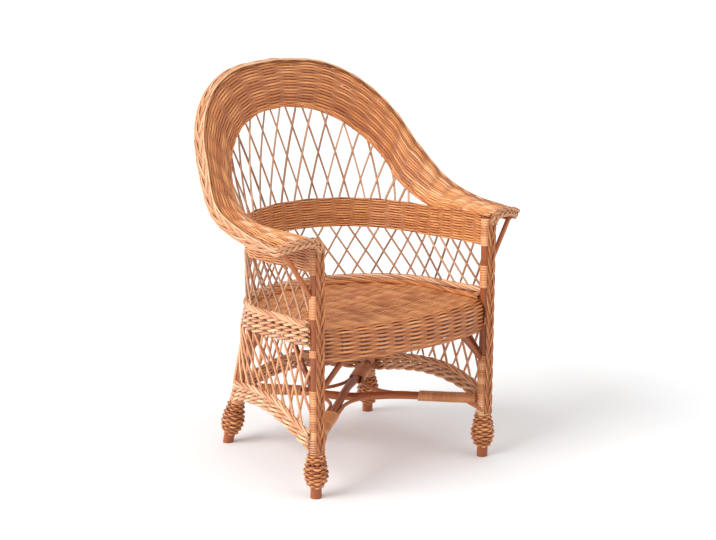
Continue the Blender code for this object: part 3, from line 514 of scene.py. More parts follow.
# %% [markdown]
# ## Legs
#
# Four stout rods, whose feet stand bare below the woven socks. The front two run up to the arms as posts,
# and the back two splay and stop under the seat. They could be placed by hand, but nearly every other
# piece is set against them, so each leg's line is a function of height.


# %% Legs
def front_axis(side, height):
    return np.array([side * FRONT_HALF, -FRONT_LEAN * height / ARM_HEIGHT, height])


def back_axis(side, height):
    half, depth = BACK_FOOT + (BACK_TOP - BACK_FOOT) * (height / BACK_LEG_HEIGHT)
    return np.array([side * half, depth, height])


def leg_axis(corner, height):
    end, word = corner.split("_")
    return (front_axis if end == "front" else back_axis)(SIDES[word], height)


for corner in CORNERS:
    top = POST_TOP if corner.startswith("front") else BACK_LEG_HEIGHT
    bent_rod(corner + "_leg_rod", [leg_axis(corner, 0.0), leg_axis(corner, top)], LEG_RADIUS,
             "leg_" + corner, tone=0.28, flat_foot=True)

# %% [markdown]
# ## Seat frame
#
# Four bent rails hang under the seat between the legs, with two bars across. The rails could be arcs, but
# a line that bows with a sine is closer to how a green rod bends between two nails. Each row of the table
# gives a rail's legs, how far it bows, and how far its ends stand behind the legs.


# %% Rails and bars
def seat_height(depth):
    return SEAT_FRONT - SEAT_SLOPE * depth


RAIL_RADIUS, BAR_RADIUS, BAR_OFFSET = 0.011, 0.008, 0.075
RAILS = {"front": ("front_left", "front_right", (0, -0.020, 0), 0.008),
         "back": ("back_left", "back_right", (0, 0.045, 0), 0.0),
         "left": ("front_left", "back_left", (-0.018, 0, 0), 0.0),
         "right": ("front_right", "back_right", (0.018, 0, 0), 0.0)}
rail_paths = {}
for word, (*legs, bow, setback) in RAILS.items():
    ends = []
    for corner in legs:
        level = seat_height(leg_axis(corner, BACK_LEG_HEIGHT)[1]) - SEAT_THICKNESS - RAIL_RADIUS
        ends.append(leg_axis(corner, level) + (0, setback, 0))
    share = np.linspace(0, 1, 33)[:, None]
    path = ends[0] * (1 - share) + ends[1] * share + np.array(bow) * np.sin(np.pi * share)
    path[:, 2] = seat_height(path[:, 1]) - SEAT_THICKNESS - RAIL_RADIUS - 2 * CLEARANCE
    rail_paths[word] = path
    bent_rod(word + "_seat_rail_rod", path, RAIL_RADIUS, "seat_rail_" + word, tone=0.3)

for word, side in SIDES.items():
    path = []
    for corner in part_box("seat_bar_" + word):
        depth = corner.y - HOME[1]
        level = seat_height(depth) - SEAT_THICKNESS - BAR_RADIUS - 2 * CLEARANCE
        path.append((side * BAR_OFFSET, depth, level))
    bent_rod(word + "_seat_bar_rod", path, BAR_RADIUS, "seat_bar_" + word, tone=0.35)

# %% [markdown]
# ## Crossed stretchers
#
# Two rods cross between the legs and keep them from spreading. Straight rods would run into each other, so
# one is eased up over the crossing and the other down under it.

# %% Crossed stretchers
STRETCHER_HEIGHT, STRETCHER_RADIUS, CROSSING_SPREAD = 0.150, 0.010, 0.24
STRETCHERS = {"upper": ("front_left", "back_right", 1), "lower": ("front_right", "back_left", -1)}


def stretcher_point(corner):
    return leg_axis(corner, STRETCHER_HEIGHT)


front, back = stretcher_point("front_right"), stretcher_point("back_left")
CROSS_SHARE = front[0] / (front[0] - back[0])
CROSSING = front + (back - front) * CROSS_SHARE
for word, (first, second, way) in STRETCHERS.items():
    share = np.linspace(0, 1, 41)[:, None]
    lift = way * (STRETCHER_RADIUS + CLEARANCE) * ease(1 - np.abs(share - CROSS_SHARE) / CROSSING_SPREAD)
    path = stretcher_point(first) * (1 - share) + stretcher_point(second) * share + UP * lift
    bent_rod(word + "_stretcher_rod", path, STRETCHER_RADIUS, "cross_stretcher_" + word, tone=0.38)

# %% [markdown]
# ## Bows
#
# A thin bow lies in each corner of the cross, between the same legs as a rail. It leaves a leg a little
# below the stretcher, follows it, turns in a round bend and follows the next stretcher out. It could be
# drawn by hand, but two straight runs with an arc between them keep it beside both stretchers.

# %% Bows
BOW_RADIUS, BOW_BEND, BOW_DROP, BOW_DROP_RUN = 0.0045, 0.110, 0.026, 0.029
BOW_OFFSET = STRETCHER_RADIUS + BOW_RADIUS + CLEARANCE
for word, legs in RAILS.items():
    outs = [stretcher_point(corner) - CROSSING for corner in legs[:2]]
    ways = [unit(out) for out in outs]
    half = math.acos(float(np.dot(*ways))) / 2
    middle = unit(ways[0] + ways[1])
    apex = CROSSING + middle * BOW_OFFSET / math.sin(half)
    centre = apex + middle * BOW_BEND / math.sin(half)
    trim, start = BOW_BEND / math.tan(half), float((apex - CROSSING) @ ways[0])
    arms = []
    for way, out in zip(ways, outs):
        reach = np.linalg.norm(out)
        run = ((reach, 1.0), (reach - BOW_DROP_RUN, 0.4), (reach - 2 * BOW_DROP_RUN, 0.0),
               (start + trim, 0.0))
        arms.append([apex + way * (distance - start) - UP * BOW_DROP * drop for distance, drop in run])
    first, second = (arm[-1] - centre for arm in arms)
    bend = [centre + unit(first * (1 - s) + second * s) * BOW_BEND for s in (0.17, 0.33, 0.5, 0.67, 0.83)]
    bent_rod(word + "_bow_rod", spline(arms[0] + bend + arms[1][::-1], 6), BOW_RADIUS,
             "stretcher_bow_" + word, tone=0.6)

# %% [markdown]
# ## Knee struts
#
# Two short struts rise from every leg to the rails beside it and stiffen the corner. Each is a straight
# rod. Its top could be typed in, but it is measured along the rail, so that it meets the rail's bend.

# %% Knee struts
KNEE_FOOT, KNEE_RUN, KNEE_RADIUS, NEAR_LEG = 0.245, 0.130, 0.007, 0.05
for corner in CORNERS:
    for rail in corner.split("_"):
        path = rail_paths[rail]
        reach = lengths(path)[-1]
        starts_here = np.linalg.norm(path[0] - leg_axis(corner, path[0][2])) < NEAR_LEG
        top = along(path, (KNEE_RUN if starts_here else reach - KNEE_RUN) / reach)
        bent_rod(f"{corner}_knee_rod_{rail}", [leg_axis(corner, KNEE_FOOT), top], KNEE_RADIUS,
                 f"knee_brace_{corner}_{rail}", tone=0.3)

# %% [markdown]
# ## The rim's surface
#
# The wide rim starts as the flat arms, turns up into the hoop and comes down again. A strip could be bent
# along one curve, but its two edges rise differently, so each is a line of its own. The sheet between them
# is crowned a little, and bulges forward at the front.

# %% Rim sheet
RIM_CROWN, FRONT_BULGE, RIM_SPAN, RIM_COLUMNS, RIM_STATIONS = 0.012, 0.012, 16, 21, 301
ARM_FRONT = -FRONT_LEAN - LEG_RADIUS


def mid_top(depth):
    return ARM_HEIGHT - RIM_THICKNESS / 2 - CLEARANCE - MID_DROP * ease(depth / OPENING_SPRING)


def half_hoop(angle, half_width, rise, squareness, spring, lean, base):
    """Point on a leaning half hoop: 0 degrees at its springing, 90 at its top."""
    power = 2 / squareness
    lift = rise * math.sin(math.radians(angle)) ** power
    return (half_width * abs(math.cos(math.radians(angle))) ** power, spring + lean * lift, base + lift)


HOOP = {"half_width": 0.323, "rise": 0.330, "squareness": 2.45, "spring": 0.282, "lean": 0.82,
        "base": ARM_HEIGHT}
OPENING = {"half_width": MID_RADIUS, "rise": 0.228, "squareness": 2.1, "spring": OPENING_SPRING,
           "lean": 0.90, "base": ARM_HEIGHT - MID_DROP + 0.010}
outer_points = [(0.344, ARM_FRONT + 0.020, ARM_HEIGHT - 0.010), (0.342, 0.150, ARM_HEIGHT - 0.004),
                (0.338, HOOP["spring"], ARM_HEIGHT + 0.029)]
outer_points += [half_hoop(angle, **HOOP) for angle in (15, 28, 42, 57, 73, 90)]
inner_points = [(MID_RADIUS, depth, mid_top(depth) + RIM_THICKNESS / 2 + CLEARANCE)
                for depth in (ARM_FRONT, 0.38 * OPENING_SPRING, 0.71 * OPENING_SPRING)]
inner_points += [half_hoop(angle, **OPENING) for angle in (7, 22, 38, 55, 72, 90)]
outer_line, inner_line = (mirrored(spline(points, RIM_SPAN)) for points in (outer_points, inner_points))
ways = unit(np.cross(np.gradient(outer_line, axis=0), inner_line - outer_line))
stations = np.arange(len(outer_line))
from_front = np.minimum(stations, stations[::-1])
front_bulge = FRONT_BULGE * np.clip(1 - from_front / RIM_SPAN, 0, 1)
grid = np.empty((len(stations), RIM_COLUMNS, 3))
for column, share in enumerate(np.linspace(0, 1, RIM_COLUMNS)):
    hump = 4 * share * (1 - share)
    grid[:, column] = outer_line * (1 - share) + inner_line * share + ways * RIM_CROWN * hump
    grid[:, column, 1] -= front_bulge * hump
run = lengths(grid[:, RIM_COLUMNS // 2])
evenly = np.linspace(0, run[-1], RIM_STATIONS)
rim = Sheet(np.stack([np.stack([np.interp(evenly, run, grid[:, column, axis]) for axis in range(3)], -1)
                      for column in range(RIM_COLUMNS)], 1))
print("rim is", round(rim.length, 3), "m long")

# %% [markdown]
# ## Plain weave
#
# In plain weave a rod passes in front of one stake and behind the next, and the row above does the
# opposite. A bump map would look flat at the edges, so the rods are real: each follows a cosine, whose
# sign flips from row to row. A willow rod is only so long, so a row is cut into rods whose ends are tucked
# in.

# %% Plain weave
POINTS_PER_STAKE, OVERLAP, TUCK, TUCK_REACH = 8, 0.4, 0.4, 0.8
UNEVEN, WANDER, PALE_RUN = 0.00015, 0.0005, 0.26


def cuts(stakes, row, reach):
    """Stake numbers where one rod of a row ends and the next begins, always behind a stake."""
    marks, place = [0], int(rng.integers(2, reach))
    while place < stakes - 3:
        place += (place + row + 1) % 2
        marks.append(place)
        place += int(rng.integers(reach // 2, reach + 3))
    return marks + [stakes]


def bulge(phase):
    """How far a rod stands in front of the stakes: flat between them and rounded over each one."""
    return np.cos(phase) * np.abs(np.cos(phase)) ** 0.7


def stand(bundle, sheet, shares, v, wide, thick, recess, sides=8):
    """Stakes across a sheet, at shares along it, in dark tones: painted shade where they show between rows.
    """
    for share in shares:
        u = np.clip(share, 0.003, 0.997) + 0 * v
        bundle.rod(sheet.at(u, v), sheet.out(u, v), wide, thick, tone=rng.uniform(0.1, 0.5), recess=recess,
                   sides=sides)


def weave(bundle, sheet, rows, stakes, cover, thick, swing, reach, stake, span, tone, pale_ends=0.0):
    """Plain weave, rows along u and stakes across; cover is half a rod's width as a share of the row pitch.

    reach is a rod's usual length in stakes, and pale_ends makes the rods near the sheet's two ends paler:
    partly willow faded pale, partly a painted highlight.
    """
    for row in range(rows):
        v = span[0] + (span[1] - span[0]) * (row + 0.5) / rows
        marks = cuts(stakes, row, reach)
        for first, last in zip(marks, marks[1:]):
            begin, end = max(first - OVERLAP, 0), min(last + OVERLAP, stakes)
            step = np.linspace(begin, end, int((end - begin) * POINTS_PER_STAKE) + 2)
            wave = bulge(np.pi * (step + row))
            tucked = (ease(begin + TUCK_REACH - step) * (first > 0)
                      + ease(step - end + TUCK_REACH) * (last < stakes))
            lift = swing * (wave - TUCK * tucked) + rng.normal(0, UNEVEN, len(step))
            drift = WANDER * np.sin(step * rng.uniform(0.5, 0.9) + rng.uniform(0, 6)) / sheet.width
            u, size = step / stakes, rng.uniform(0.90, 1.08)
            wide = cover * (span[1] - span[0]) * sheet.width_at(u) / rows
            middle = u.mean()
            # Paler rods near both ends: partly willow faded pale, partly a painted highlight.
            fade_and_sheen = pale_ends * float(1 - ease(min(middle, 1 - middle) / PALE_RUN))
            bundle.rod(sheet.at(u, v + drift, lift), sheet.out(u, v), wide * size, thick * size,
                       tone=rng.uniform(*tone) + fade_and_sheen, facing=wave)
    # The stakes get recess 0.9: painted shade where they show between the rows.
    shares = np.arange(stakes + 1) / stakes
    stand(bundle, sheet, shares, np.linspace(*span, 9), stake * 2.8, stake * 0.4, recess=0.9)


print("plain weave ready")

# %% [markdown]
# ## Twists and plaits
#
# Rods that twist round each other lie on a helix round a line. In a flat plait the strands swing from edge
# to edge and dip behind each other, which leaves V strokes. An Array modifier could repeat one length of
# either, but it would repeat the shades too. A strip behind a plait closes its gaps, painted dark as the
# shade between the strands. Sides towards a twist's core and strands that dip behind get painted shade too.


# %% Twists and plaits
def twist(bundle, path, out, radius, rods, period, size, flat=1.0, phase=0.0):
    """Rods that twist round each other along a line, as in a rope or a rolled border."""
    line, path = path, even(path, period / 14)
    if np.ndim(out) > 1:
        out = along(line, np.linspace(0, 1, len(path)), out)
    out, across = squared(path, out)
    turn = 2 * np.pi * lengths(path) / period + phase
    for k in range(rods):
        angle = (turn + 2 * np.pi * k / rods)[:, None]
        spoke = out * np.cos(angle) * radius * flat + across * np.sin(angle) * radius
        # facing=1.0 darkens each rod's side towards the core: painted shade.
        bundle.rod(path + spoke, unit(spoke), size * rng.uniform(0.92, 1.08), size, facing=1.0)


def plait(bundle, path, tall, half_height, half_depth, period, size, tone, recess=0.0, strands=5, rods=2,
          edged_behind=None):
    """Flat plait: strands of a few rods each swing from edge to edge and dip behind each other.

    Behind the depth edged_behind, a long rod closes each edge.
    """
    line, path = path, even(path, period / 24)
    tall, face = squared(path, along(line, np.linspace(0, 1, len(path)), tall))
    turn = 2 * np.pi * lengths(path) / period
    width, thick = size * rods, size * 0.85
    # A dark strip behind the strands: painted shade that closes the gaps.
    bundle.rod(path - face * half_depth * 0.9, face, half_height * 0.82, half_depth, tone=0.2, recess=0.65)
    for strand in range(strands):
        phase = turn + 2 * np.pi * strand / strands
        swing = np.sin(phase)[:, None] * (half_height - width)
        front = -np.sin(2 * phase)
        centre = path + tall * swing + face * front[:, None] * (half_depth - thick)
        aside = np.cross(unit(np.gradient(centre, axis=0)), face)
        for k in range(rods):
            shift = (2 * (k + 0.5) / rods - 1) * width
            # facing darkens the strands where they dip behind: painted shade.
            bundle.rod(centre + aside * shift, face, size, thick, tone=rng.uniform(*tone), recess=recess,
                       facing=0.1 + 0.9 * front)
    if edged_behind is not None:
        back = path[:, 1] > edged_behind
        for side in (-1, 1):
            edge = path + tall * side * (half_height - size)
            bundle.rod(edge[back], face[back], size, size, tone=rng.uniform(*tone), recess=recess,
                       facing=0.8)


print("twists and plaits ready")

# %% [markdown]
# ## Rim weave and hoop rod
#
# The rim is one long plain weave, with four rods twisted along its inner edge. Arms and hoop could be
# woven apart, but the real rods run through without a seam. The rods on the arms are paler: partly willow
# faded pale, partly a painted highlight of the light that falls on the arms. A bent rod stiffens the rim
# underneath, near its outer edge.

# %% Rim weave and hoop rod
INNER_EDGE, HOOP_ROD_SHARE, HOOP_ROD_RADIUS = 0.970, 0.09, 0.008
rim_rods = Bundle()
# pale_ends paints the arms' rods paler, partly as a painted highlight.
weave(rim_rods, rim, rows=33, stakes=31, cover=0.76, thick=0.0018, swing=0.0023, reach=9, stake=0.0034,
      span=(-0.05, 1.01), tone=(0.0, 0.9), pale_ends=0.9)
u = np.linspace(0.0, 1.0, 260)
twist(rim_rods, rim.at(u, INNER_EDGE), rim.out(u, INNER_EDGE), radius=0.0030, rods=4, period=0.150,
      size=0.0025, phase=0.5)
rim_rods.make("rim_willow", "woven_willow", "rim_weave")

under = RIM_THICKNESS / 2 + HOOP_ROD_RADIUS + 0.0026
u = np.linspace(0.006, 0.994, 140)
hoop_path = rim.at(u, HOOP_ROD_SHARE, np.full(len(u), -under))
bent_rod("hoop_bent_rod", hoop_path, HOOP_ROD_RADIUS, "hoop_rod", tone=0.4)

# %% [markdown]
# ## Rim border
#
# One flat plait trims the rim, from the front of one post round the arm's end and over the hoop to the
# other post. The rim's edge alone would miss the turn down onto the posts, so three runs of points are
# joined and rounded off. Along the sides the plait leans over, to show from above. In front it is tighter
# and darker.

# %% Rim border
BORDER_GAP, BORDER_TILT, FRONT_RUN = 0.0078, math.radians(34), 0.124
share = np.linspace(0.90, 0.06, 12)
front_edge = rim.at(0.0, share) + (0, -BORDER_GAP, 0)
post_edge = np.array([(FRONT_HALF, front_edge[0, 1], POST_TOP - fall) for fall in (0.020, 0.013, 0.006)])
post_tall = np.tile((-1.0, 0.0, 0.0), (len(post_edge), 1))
corner_out = unit(unit(rim.at(0.0, 0.0) - rim.at(0.0, 0.2)) + (0, -1, 0))
corner_edge = rim.at(0.0, 0.0) + corner_out * BORDER_GAP * 1.25
u = np.linspace(0.0, 0.5, 120)[3:]
side_edge = rim.at(u, 0.0) + unit(rim.at(u, 0.0) - rim.at(u, 0.05)) * BORDER_GAP
border_line = mirrored(np.vstack([post_edge, front_edge, corner_edge, side_edge]))
border_tall = mirrored(np.vstack([post_tall, rim.out(0.0, share), rim.out(0.0, 0.03)[None],
                                  rim.out(u, 0.03)]))
border_path = rounded(even(border_line, 0.004))
border_tall = rounded(along(border_line, np.linspace(0, 1, len(border_path)), border_tall))
border_face = unit(np.cross(np.gradient(border_path, axis=0), border_tall))
lean = (BORDER_TILT * ease((border_path[:, 1] - 0.02) / 0.16))[:, None]
border_tall = border_tall * np.cos(lean) - border_face * np.sin(lean)

border = Bundle()
border_run = lengths(border_path)
for first, last in ((0.0, FRONT_RUN), (border_run[-1] - FRONT_RUN, border_run[-1])):
    part = (border_run >= first) & (border_run <= last)
    plait(border, border_path[part], border_tall[part], half_height=0.0125, half_depth=0.0036, period=0.078,
          size=0.0016, tone=(0.05, 0.6), recess=0.15)
part = (border_run > FRONT_RUN - 0.006) & (border_run < border_run[-1] - FRONT_RUN + 0.006)
plait(border, border_path[part], border_tall[part], half_height=0.0150, half_depth=0.0036, period=0.260,
      size=0.0020, tone=(0.1, 1.0), edged_behind=0.05)
border.make("rim_border_willow", "pale_willow", "rim_border_plait")

# %% [markdown]
# ## Cane bindings, post plaits and arm braces
#
# Split cane is wound round each post in three places, one turn beside the next. A Screw modifier could
# wind it, but a helix of points lets the cane change shade every few turns. A flat plait runs down the
# front of the post, and a slanted brace holds the arm up.


# %% Winding cane
def coil(bundle, start, end, radius, pitch, thick=0.0014):
    """Split cane wound round a rod, one turn beside the next."""
    way = unit(end - start)
    across = unit(np.cross(way, (1.0, 0.0, 0.0)))
    turns = max(int(np.linalg.norm(end - start) / pitch), 1)
    angle = np.linspace(0, 2 * np.pi * turns, turns * 18 + 1)
    path, spoke = winding(start, end, angle, across, np.cross(way, across), radius)
    for part in cut_up(len(path), max(turns // 3, 1)):
        bundle.rod(path[part], spoke[part], pitch * 0.5, thick, tone=rng.uniform(0.1, 0.85), recess=0.15)


print("cane winding ready")

# %% Posts
COIL_RADIUS, CANE_PITCH = LEG_RADIUS + 0.0011, 0.0060
ZONES = {"lower": [(0.148, 0.266)], "middle": [(0.438, 0.4945), (0.346, 0.364)],
         "upper": [(0.543, POST_TOP - 0.001)]}
PLAIT_STAND_OFF, PLAIT_FOOT, PLAIT_POINTS = LEG_RADIUS + 0.0006 + 0.0016 + 0.004, 0.116, 60
BRACE_FOOT, BRACE_RADIUS = 0.4692, 0.006
for word, side in SIDES.items():
    for place, windings in ZONES.items():
        wound = Bundle()
        for low, high in windings:
            coil(wound, front_axis(side, low), front_axis(side, high), COIL_RADIUS, CANE_PITCH)
        wound.make(f"{word}_{place}_cane", "cane_binding", f"post_binding_{word}_{place}")
    heights = np.linspace(POST_TOP - 0.004, PLAIT_FOOT, PLAIT_POINTS)
    path = np.array([front_axis(side, height) - (0, PLAIT_STAND_OFF, 0) for height in heights])
    front_plait = Bundle()
    plait(front_plait, path, np.tile((1.0, 0.0, 0.0), (PLAIT_POINTS, 1)), half_height=0.0122,
          half_depth=0.0032, period=0.170, size=0.0016, tone=(0.0, 0.85), recess=0.12)
    front_plait.make(word + "_post_plait_willow", "woven_willow", "post_plait_" + word)
    top = hoop_path[0 if side > 0 else -1] + (0, 0.002, 0)
    bent_rod(word + "_arm_brace_rod", [front_axis(side, BRACE_FOOT), top], BRACE_RADIUS, "arm_brace_" + word,
             tone=0.65)

# %% [markdown]
# ## Foot socks
#
# Each sock is a small basket: one spiral of rods that passes over and under eleven stakes. An odd number
# makes each turn pass the stakes the other way from the turn below, so the knobs stand like bricks. A
# turned shape with a bump map would be smooth along its outline, where the knobs show most.

# %% Foot socks
SOCK_LOW, SOCK_HIGH, SOCK_END = 0.025, 0.115, 0.003
SOCK_FOOT_RADIUS, SOCK_NECK_RADIUS, SOCK_BELLY_RADIUS = 0.0185, 0.0205, 0.029
SOCK_TURNS, SOCK_STAKES, SOCK_SWING = 14, 11, 0.0027


def sock_radius(share):
    """Outer radius of a sock, from its foot at 0 to its neck at 1, fullest below the middle."""
    plain = SOCK_FOOT_RADIUS + (SOCK_NECK_RADIUS - SOCK_FOOT_RADIUS) * share
    return plain + (SOCK_BELLY_RADIUS - plain) * np.sin(np.pi * np.clip(share, 1e-6, 1) ** 0.72) ** 1.3


def weave_sock(corner):
    sock = Bundle()
    foot, neck = leg_axis(corner, SOCK_LOW + SOCK_END), leg_axis(corner, SOCK_HIGH - SOCK_END)
    way = unit(neck - foot)
    across = unit(np.cross(way, (0.0, 1.0, 0.0)))
    upper = np.cross(way, across)
    angle = np.linspace(0, 2 * np.pi * SOCK_TURNS, SOCK_TURNS * 66 + 1)
    wave = bulge(angle * SOCK_STAKES / 2)
    radius = sock_radius(angle / angle[-1]) - 0.0032 + SOCK_SWING * wave
    path, spoke = winding(foot, neck, angle, across, upper, radius[:, None])
    for part in cut_up(len(path), 3 * SOCK_TURNS):
        stray = spoke[part] * rng.normal(0, 0.0006) + way * rng.normal(0, 0.0005)
        sock.rod(path[part] + stray, spoke[part], 0.0028 * rng.uniform(0.85, 1.12), 0.0024,
                 tone=rng.uniform(0.15, 1.05), recess=0.10, facing=wave[part])
    share = np.linspace(0, 1, 12)[:, None]
    # The stakes get a dark tone and recess 0.8: painted shade inside the sock.
    for spoke in spokes(2 * np.pi * np.arange(SOCK_STAKES) / SOCK_STAKES, across, upper):
        sock.rod(foot + (neck - foot) * share + spoke * (sock_radius(share) - 0.0040), spoke, 0.0024, 0.0016,
                 tone=0.2, recess=0.8)
    sock.make(corner + "_sock_willow", "woven_willow", "foot_sock_" + corner)


print("sock weaving ready")

# %% [markdown]
# ## Stretcher wraps
#
# Near each leg, cane binds the stretcher to the bows beside it. A round coil would stand off above and
# below, so the winding follows a rounded oval round all three rods. The front wraps are longer and start
# closer to the leg.

# %% Socks and stretcher wraps
WRAPS = {"front": (0.020, 0.142), "back": (0.052, 0.110)}
WRAP_HALF_WIDTH, WRAP_HALF_HEIGHT = BOW_OFFSET + BOW_RADIUS, STRETCHER_RADIUS + 0.0008
WRAP_SQUARENESS = 2.3


def wrap_radius(angle):
    """Distance out to a rounded oval round the stretcher and its two bows."""
    wide = np.abs(np.cos(angle) / WRAP_HALF_WIDTH) ** WRAP_SQUARENESS
    tall = np.abs(np.sin(angle) / WRAP_HALF_HEIGHT) ** WRAP_SQUARENESS
    return (wide + tall) ** (-1 / WRAP_SQUARENESS)


def wind_wrap(corner):
    wrap = Bundle()
    way = unit(CROSSING - stretcher_point(corner))
    begin, reach = WRAPS[corner.split("_")[0]]
    start = stretcher_point(corner) + way * begin
    turns = int(reach / CANE_PITCH)
    angle = np.linspace(0, 2 * np.pi * turns, turns * 20 + 1)
    radius = wrap_radius(angle)[:, None]
    path, spoke = winding(start, start + way * reach, angle, unit(np.cross(way, UP)), UP, radius)
    for part in cut_up(len(path), 7):
        wrap.rod(path[part], spoke[part], 0.0030, 0.0013, tone=rng.uniform(0.0, 0.4), recess=0.2)
    wrap.make(corner + "_wrap_cane", "cane_binding", "stretcher_wrap_" + corner)


for corner in CORNERS:
    weave_sock(corner)
    wind_wrap(corner)

# %% [markdown]
# ## Mid band
#
# A band of plain weave runs under the arms, from one post round the back to the other. A Curve modifier
# could bend a flat weave, but would stretch its rods, so they are laid on a curved sheet: two sides that
# ease into a half circle. Its top edge sinks a little towards the back.


# %% Mid band
def horseshoe(front_half, radius, centre, front_depth):
    """Plan of a band from the right post round the back to the left post."""
    share = 1 - np.arange(28) / 28
    half_width = radius + (front_half - radius) * share ** 2
    sides = np.stack([half_width, centre + (front_depth - centre) * share], -1)
    angle = np.linspace(0, np.pi / 2, 40)
    bend = np.stack([radius * np.cos(angle), centre + radius * np.sin(angle)], -1)
    half = np.vstack([sides, bend])
    return mirrored(np.hstack([half, np.zeros((len(half), 1))]))


plan = horseshoe(MID_RADIUS, MID_RADIUS, MID_CENTRE, LEG_RADIUS)
mid_upper = plan + UP * mid_top(plan[:, 1])[:, None]
mid_lower = mid_upper - UP * MID_HEIGHT
mid = Bundle()
weave(mid, between(mid_lower, mid_upper), rows=23, stakes=26, cover=0.74, thick=0.0018, swing=0.0023,
      reach=8, stake=0.0030, span=(-0.02, 1.03), tone=(0.4, 1.0))
mid.make("mid_band_willow", "woven_willow", "mid_band")

# %% [markdown]
# ## Waist band
#
# The waist band is heavier and flares downwards: a rolled border on top of rows of twined pairs, with
# small gaps where the stakes show. A pair could be made as a twist, but its rods have to cross between the
# stakes, so they are two sines half a turn apart.

# %% Twined rows
TWINED_STAKE = 0.0026


def twined_rows(bundle, sheet, rows, stakes, size, spread, swing, top):
    """Rows of paired rods that cross between the stakes, with the stakes showing in the gaps."""
    for row in range(rows):
        v = top * (row + 0.5) / rows
        step = np.linspace(0, stakes, stakes * POINTS_PER_STAKE + 1)
        for k in range(2):
            phase = np.pi * (step + k) + 0.5 * row
            u, lean = step / stakes, spread * np.sin(phase) / sheet.width
            for part in cut_up(len(step), max(stakes // 9, 1)):
                fat = size * rng.uniform(0.9, 1.1)
                path = sheet.at(u, v + lean, swing * np.cos(phase))[part]
                bundle.rod(path, sheet.out(u, v)[part], fat, fat, facing=np.cos(phase[part]))
    # The stakes get recess 0.6: painted shade where they show in the gaps.
    shares = np.arange(1, stakes) / stakes
    stand(bundle, sheet, shares, np.linspace(0.02, 0.98, 7), TWINED_STAKE, TWINED_STAKE, recess=0.6, sides=6)


print("twined rows ready")

# %% Waist band
WAIST_TOP, WAIST_HEIGHT, WAIST_DROP, WAIST_FLARE = 0.432, 0.062, 0.040, 0.014
BORDER_SHARE, BAND_STAND_OFF = 0.87, 0.0053
waist_front, front_depth = FRONT_HALF + LEG_RADIUS + BAND_STAND_OFF, front_axis(1, WAIST_TOP)[1]
upper_plan = horseshoe(waist_front, WAIST_RADIUS, WAIST_CENTRE, front_depth)
lower_plan = horseshoe(waist_front, WAIST_RADIUS + WAIST_FLARE, WAIST_CENTRE, front_depth)
waist_height = (WAIST_TOP - WAIST_DROP * upper_plan[:, 1] / (WAIST_CENTRE + WAIST_RADIUS))[:, None]
waist_upper = upper_plan + UP * waist_height
waist_lower = lower_plan + UP * (waist_height - WAIST_HEIGHT)
waist_sheet = between(waist_lower, waist_upper)
waist = Bundle()
twined_rows(waist, waist_sheet, rows=4, stakes=34, size=0.0034, spread=0.0032, swing=0.0027, top=0.76)
u = np.linspace(0.004, 0.996, 200)
for lift, phase in ((0.0022, 0.0), (-0.0012, 2.0)):
    twist(waist, waist_sheet.at(u, BORDER_SHARE, np.full(len(u), lift)), waist_sheet.out(u, BORDER_SHARE),
          radius=0.0048, rods=5, period=0.165, size=0.0032, flat=0.8, phase=phase)
waist.make("waist_band_willow", "pale_willow", "waist_band")

# %% [markdown]
# ## Arched bands
#
# Arched bands of thick twined rods run between the feet, with a rope along the top. They bow outwards as
# well, so instead of an arc each rises and bows with one sine. Rods wound round the legs close the ends of
# the side bands. Each row of the table gives two legs, the way out and how far the arch bows.

# %% Arched bands
ARCHES = {"left": ("front_left", "back_left", (-1, 0, 0), 0.010),
          "right": ("back_right", "front_right", (1, 0, 0), 0.010),
          "back": ("back_left", "back_right", (0, 1, 0), 0.022)}
ARCH_FOOT, ARCH_RISE, ARCH_HEIGHT, ROPE_SHARE, ARCH_STAKE_PITCH = 0.120, 0.036, 0.048, 0.84, 0.036
ARCH_COIL_LOW, ARCH_COIL_HIGH = 0.110, {"front": 0.150, "back": 0.172}


def arch_edge(word, band_share):
    """Edge line of an arched band: 0 for its lower edge and 1 for its upper one."""
    first, second, outward, bow = ARCHES[word]
    edge = []
    for share in np.linspace(0, 1, 49):
        swell = math.sin(math.pi * share)
        height = ARCH_FOOT + ARCH_RISE * swell + ARCH_HEIGHT * band_share
        place = leg_axis(first, height) * (1 - share) + leg_axis(second, height) * share
        edge.append(place + np.array(outward) * (LEG_RADIUS * 1.03 + BAND_STAND_OFF + bow * swell))
    return np.array(edge)


for word in ARCHES:
    arch_sheet = between(arch_edge(word, 0.0), arch_edge(word, 1.0))
    arch = Bundle()
    u = np.linspace(0.0, 1.0, 120)
    drift = 0.03 * np.sin(u * rng.uniform(9, 14) + rng.uniform(0, 6))
    twist(arch, arch_sheet.at(u, ROPE_SHARE + drift), arch_sheet.out(u, ROPE_SHARE), radius=0.0050, rods=4,
          period=0.150, size=0.0035, flat=0.8)
    twined_rows(arch, arch_sheet, rows=3, stakes=int(arch_sheet.length / ARCH_STAKE_PITCH), size=0.0037,
                spread=0.0031, swing=0.0028, top=0.72)
    for corner in ARCHES[word][:2] if word != "back" else ():
        high = ARCH_COIL_HIGH[corner.split("_")[0]]
        coil(arch, leg_axis(corner, ARCH_COIL_LOW), leg_axis(corner, high), LEG_RADIUS + 0.0022, 0.0056,
             thick=0.0026)
    arch.make(word + "_arch_willow", "pale_willow", "arch_band_" + word)

# %% [markdown]
# ## Lattice between the bands
#
# Thin rods lean both ways and cross as diamonds. A Wireframe modifier on a diamond grid would join them at
# every crossing, but here the two families lie one in front of the other. `lattice_rods` works out where
# each rod begins and ends, and `lattice` lays them on a sheet.

# %% Lattice between the bands
LAP, LATTICE_RADIUS, PAIR_SHIFT = 0.0022, 0.0027, 0.17
ROD_POINTS, END_GAP, TUCK_RUN, SHORTEST = 22, 0.002, 0.032, 0.2


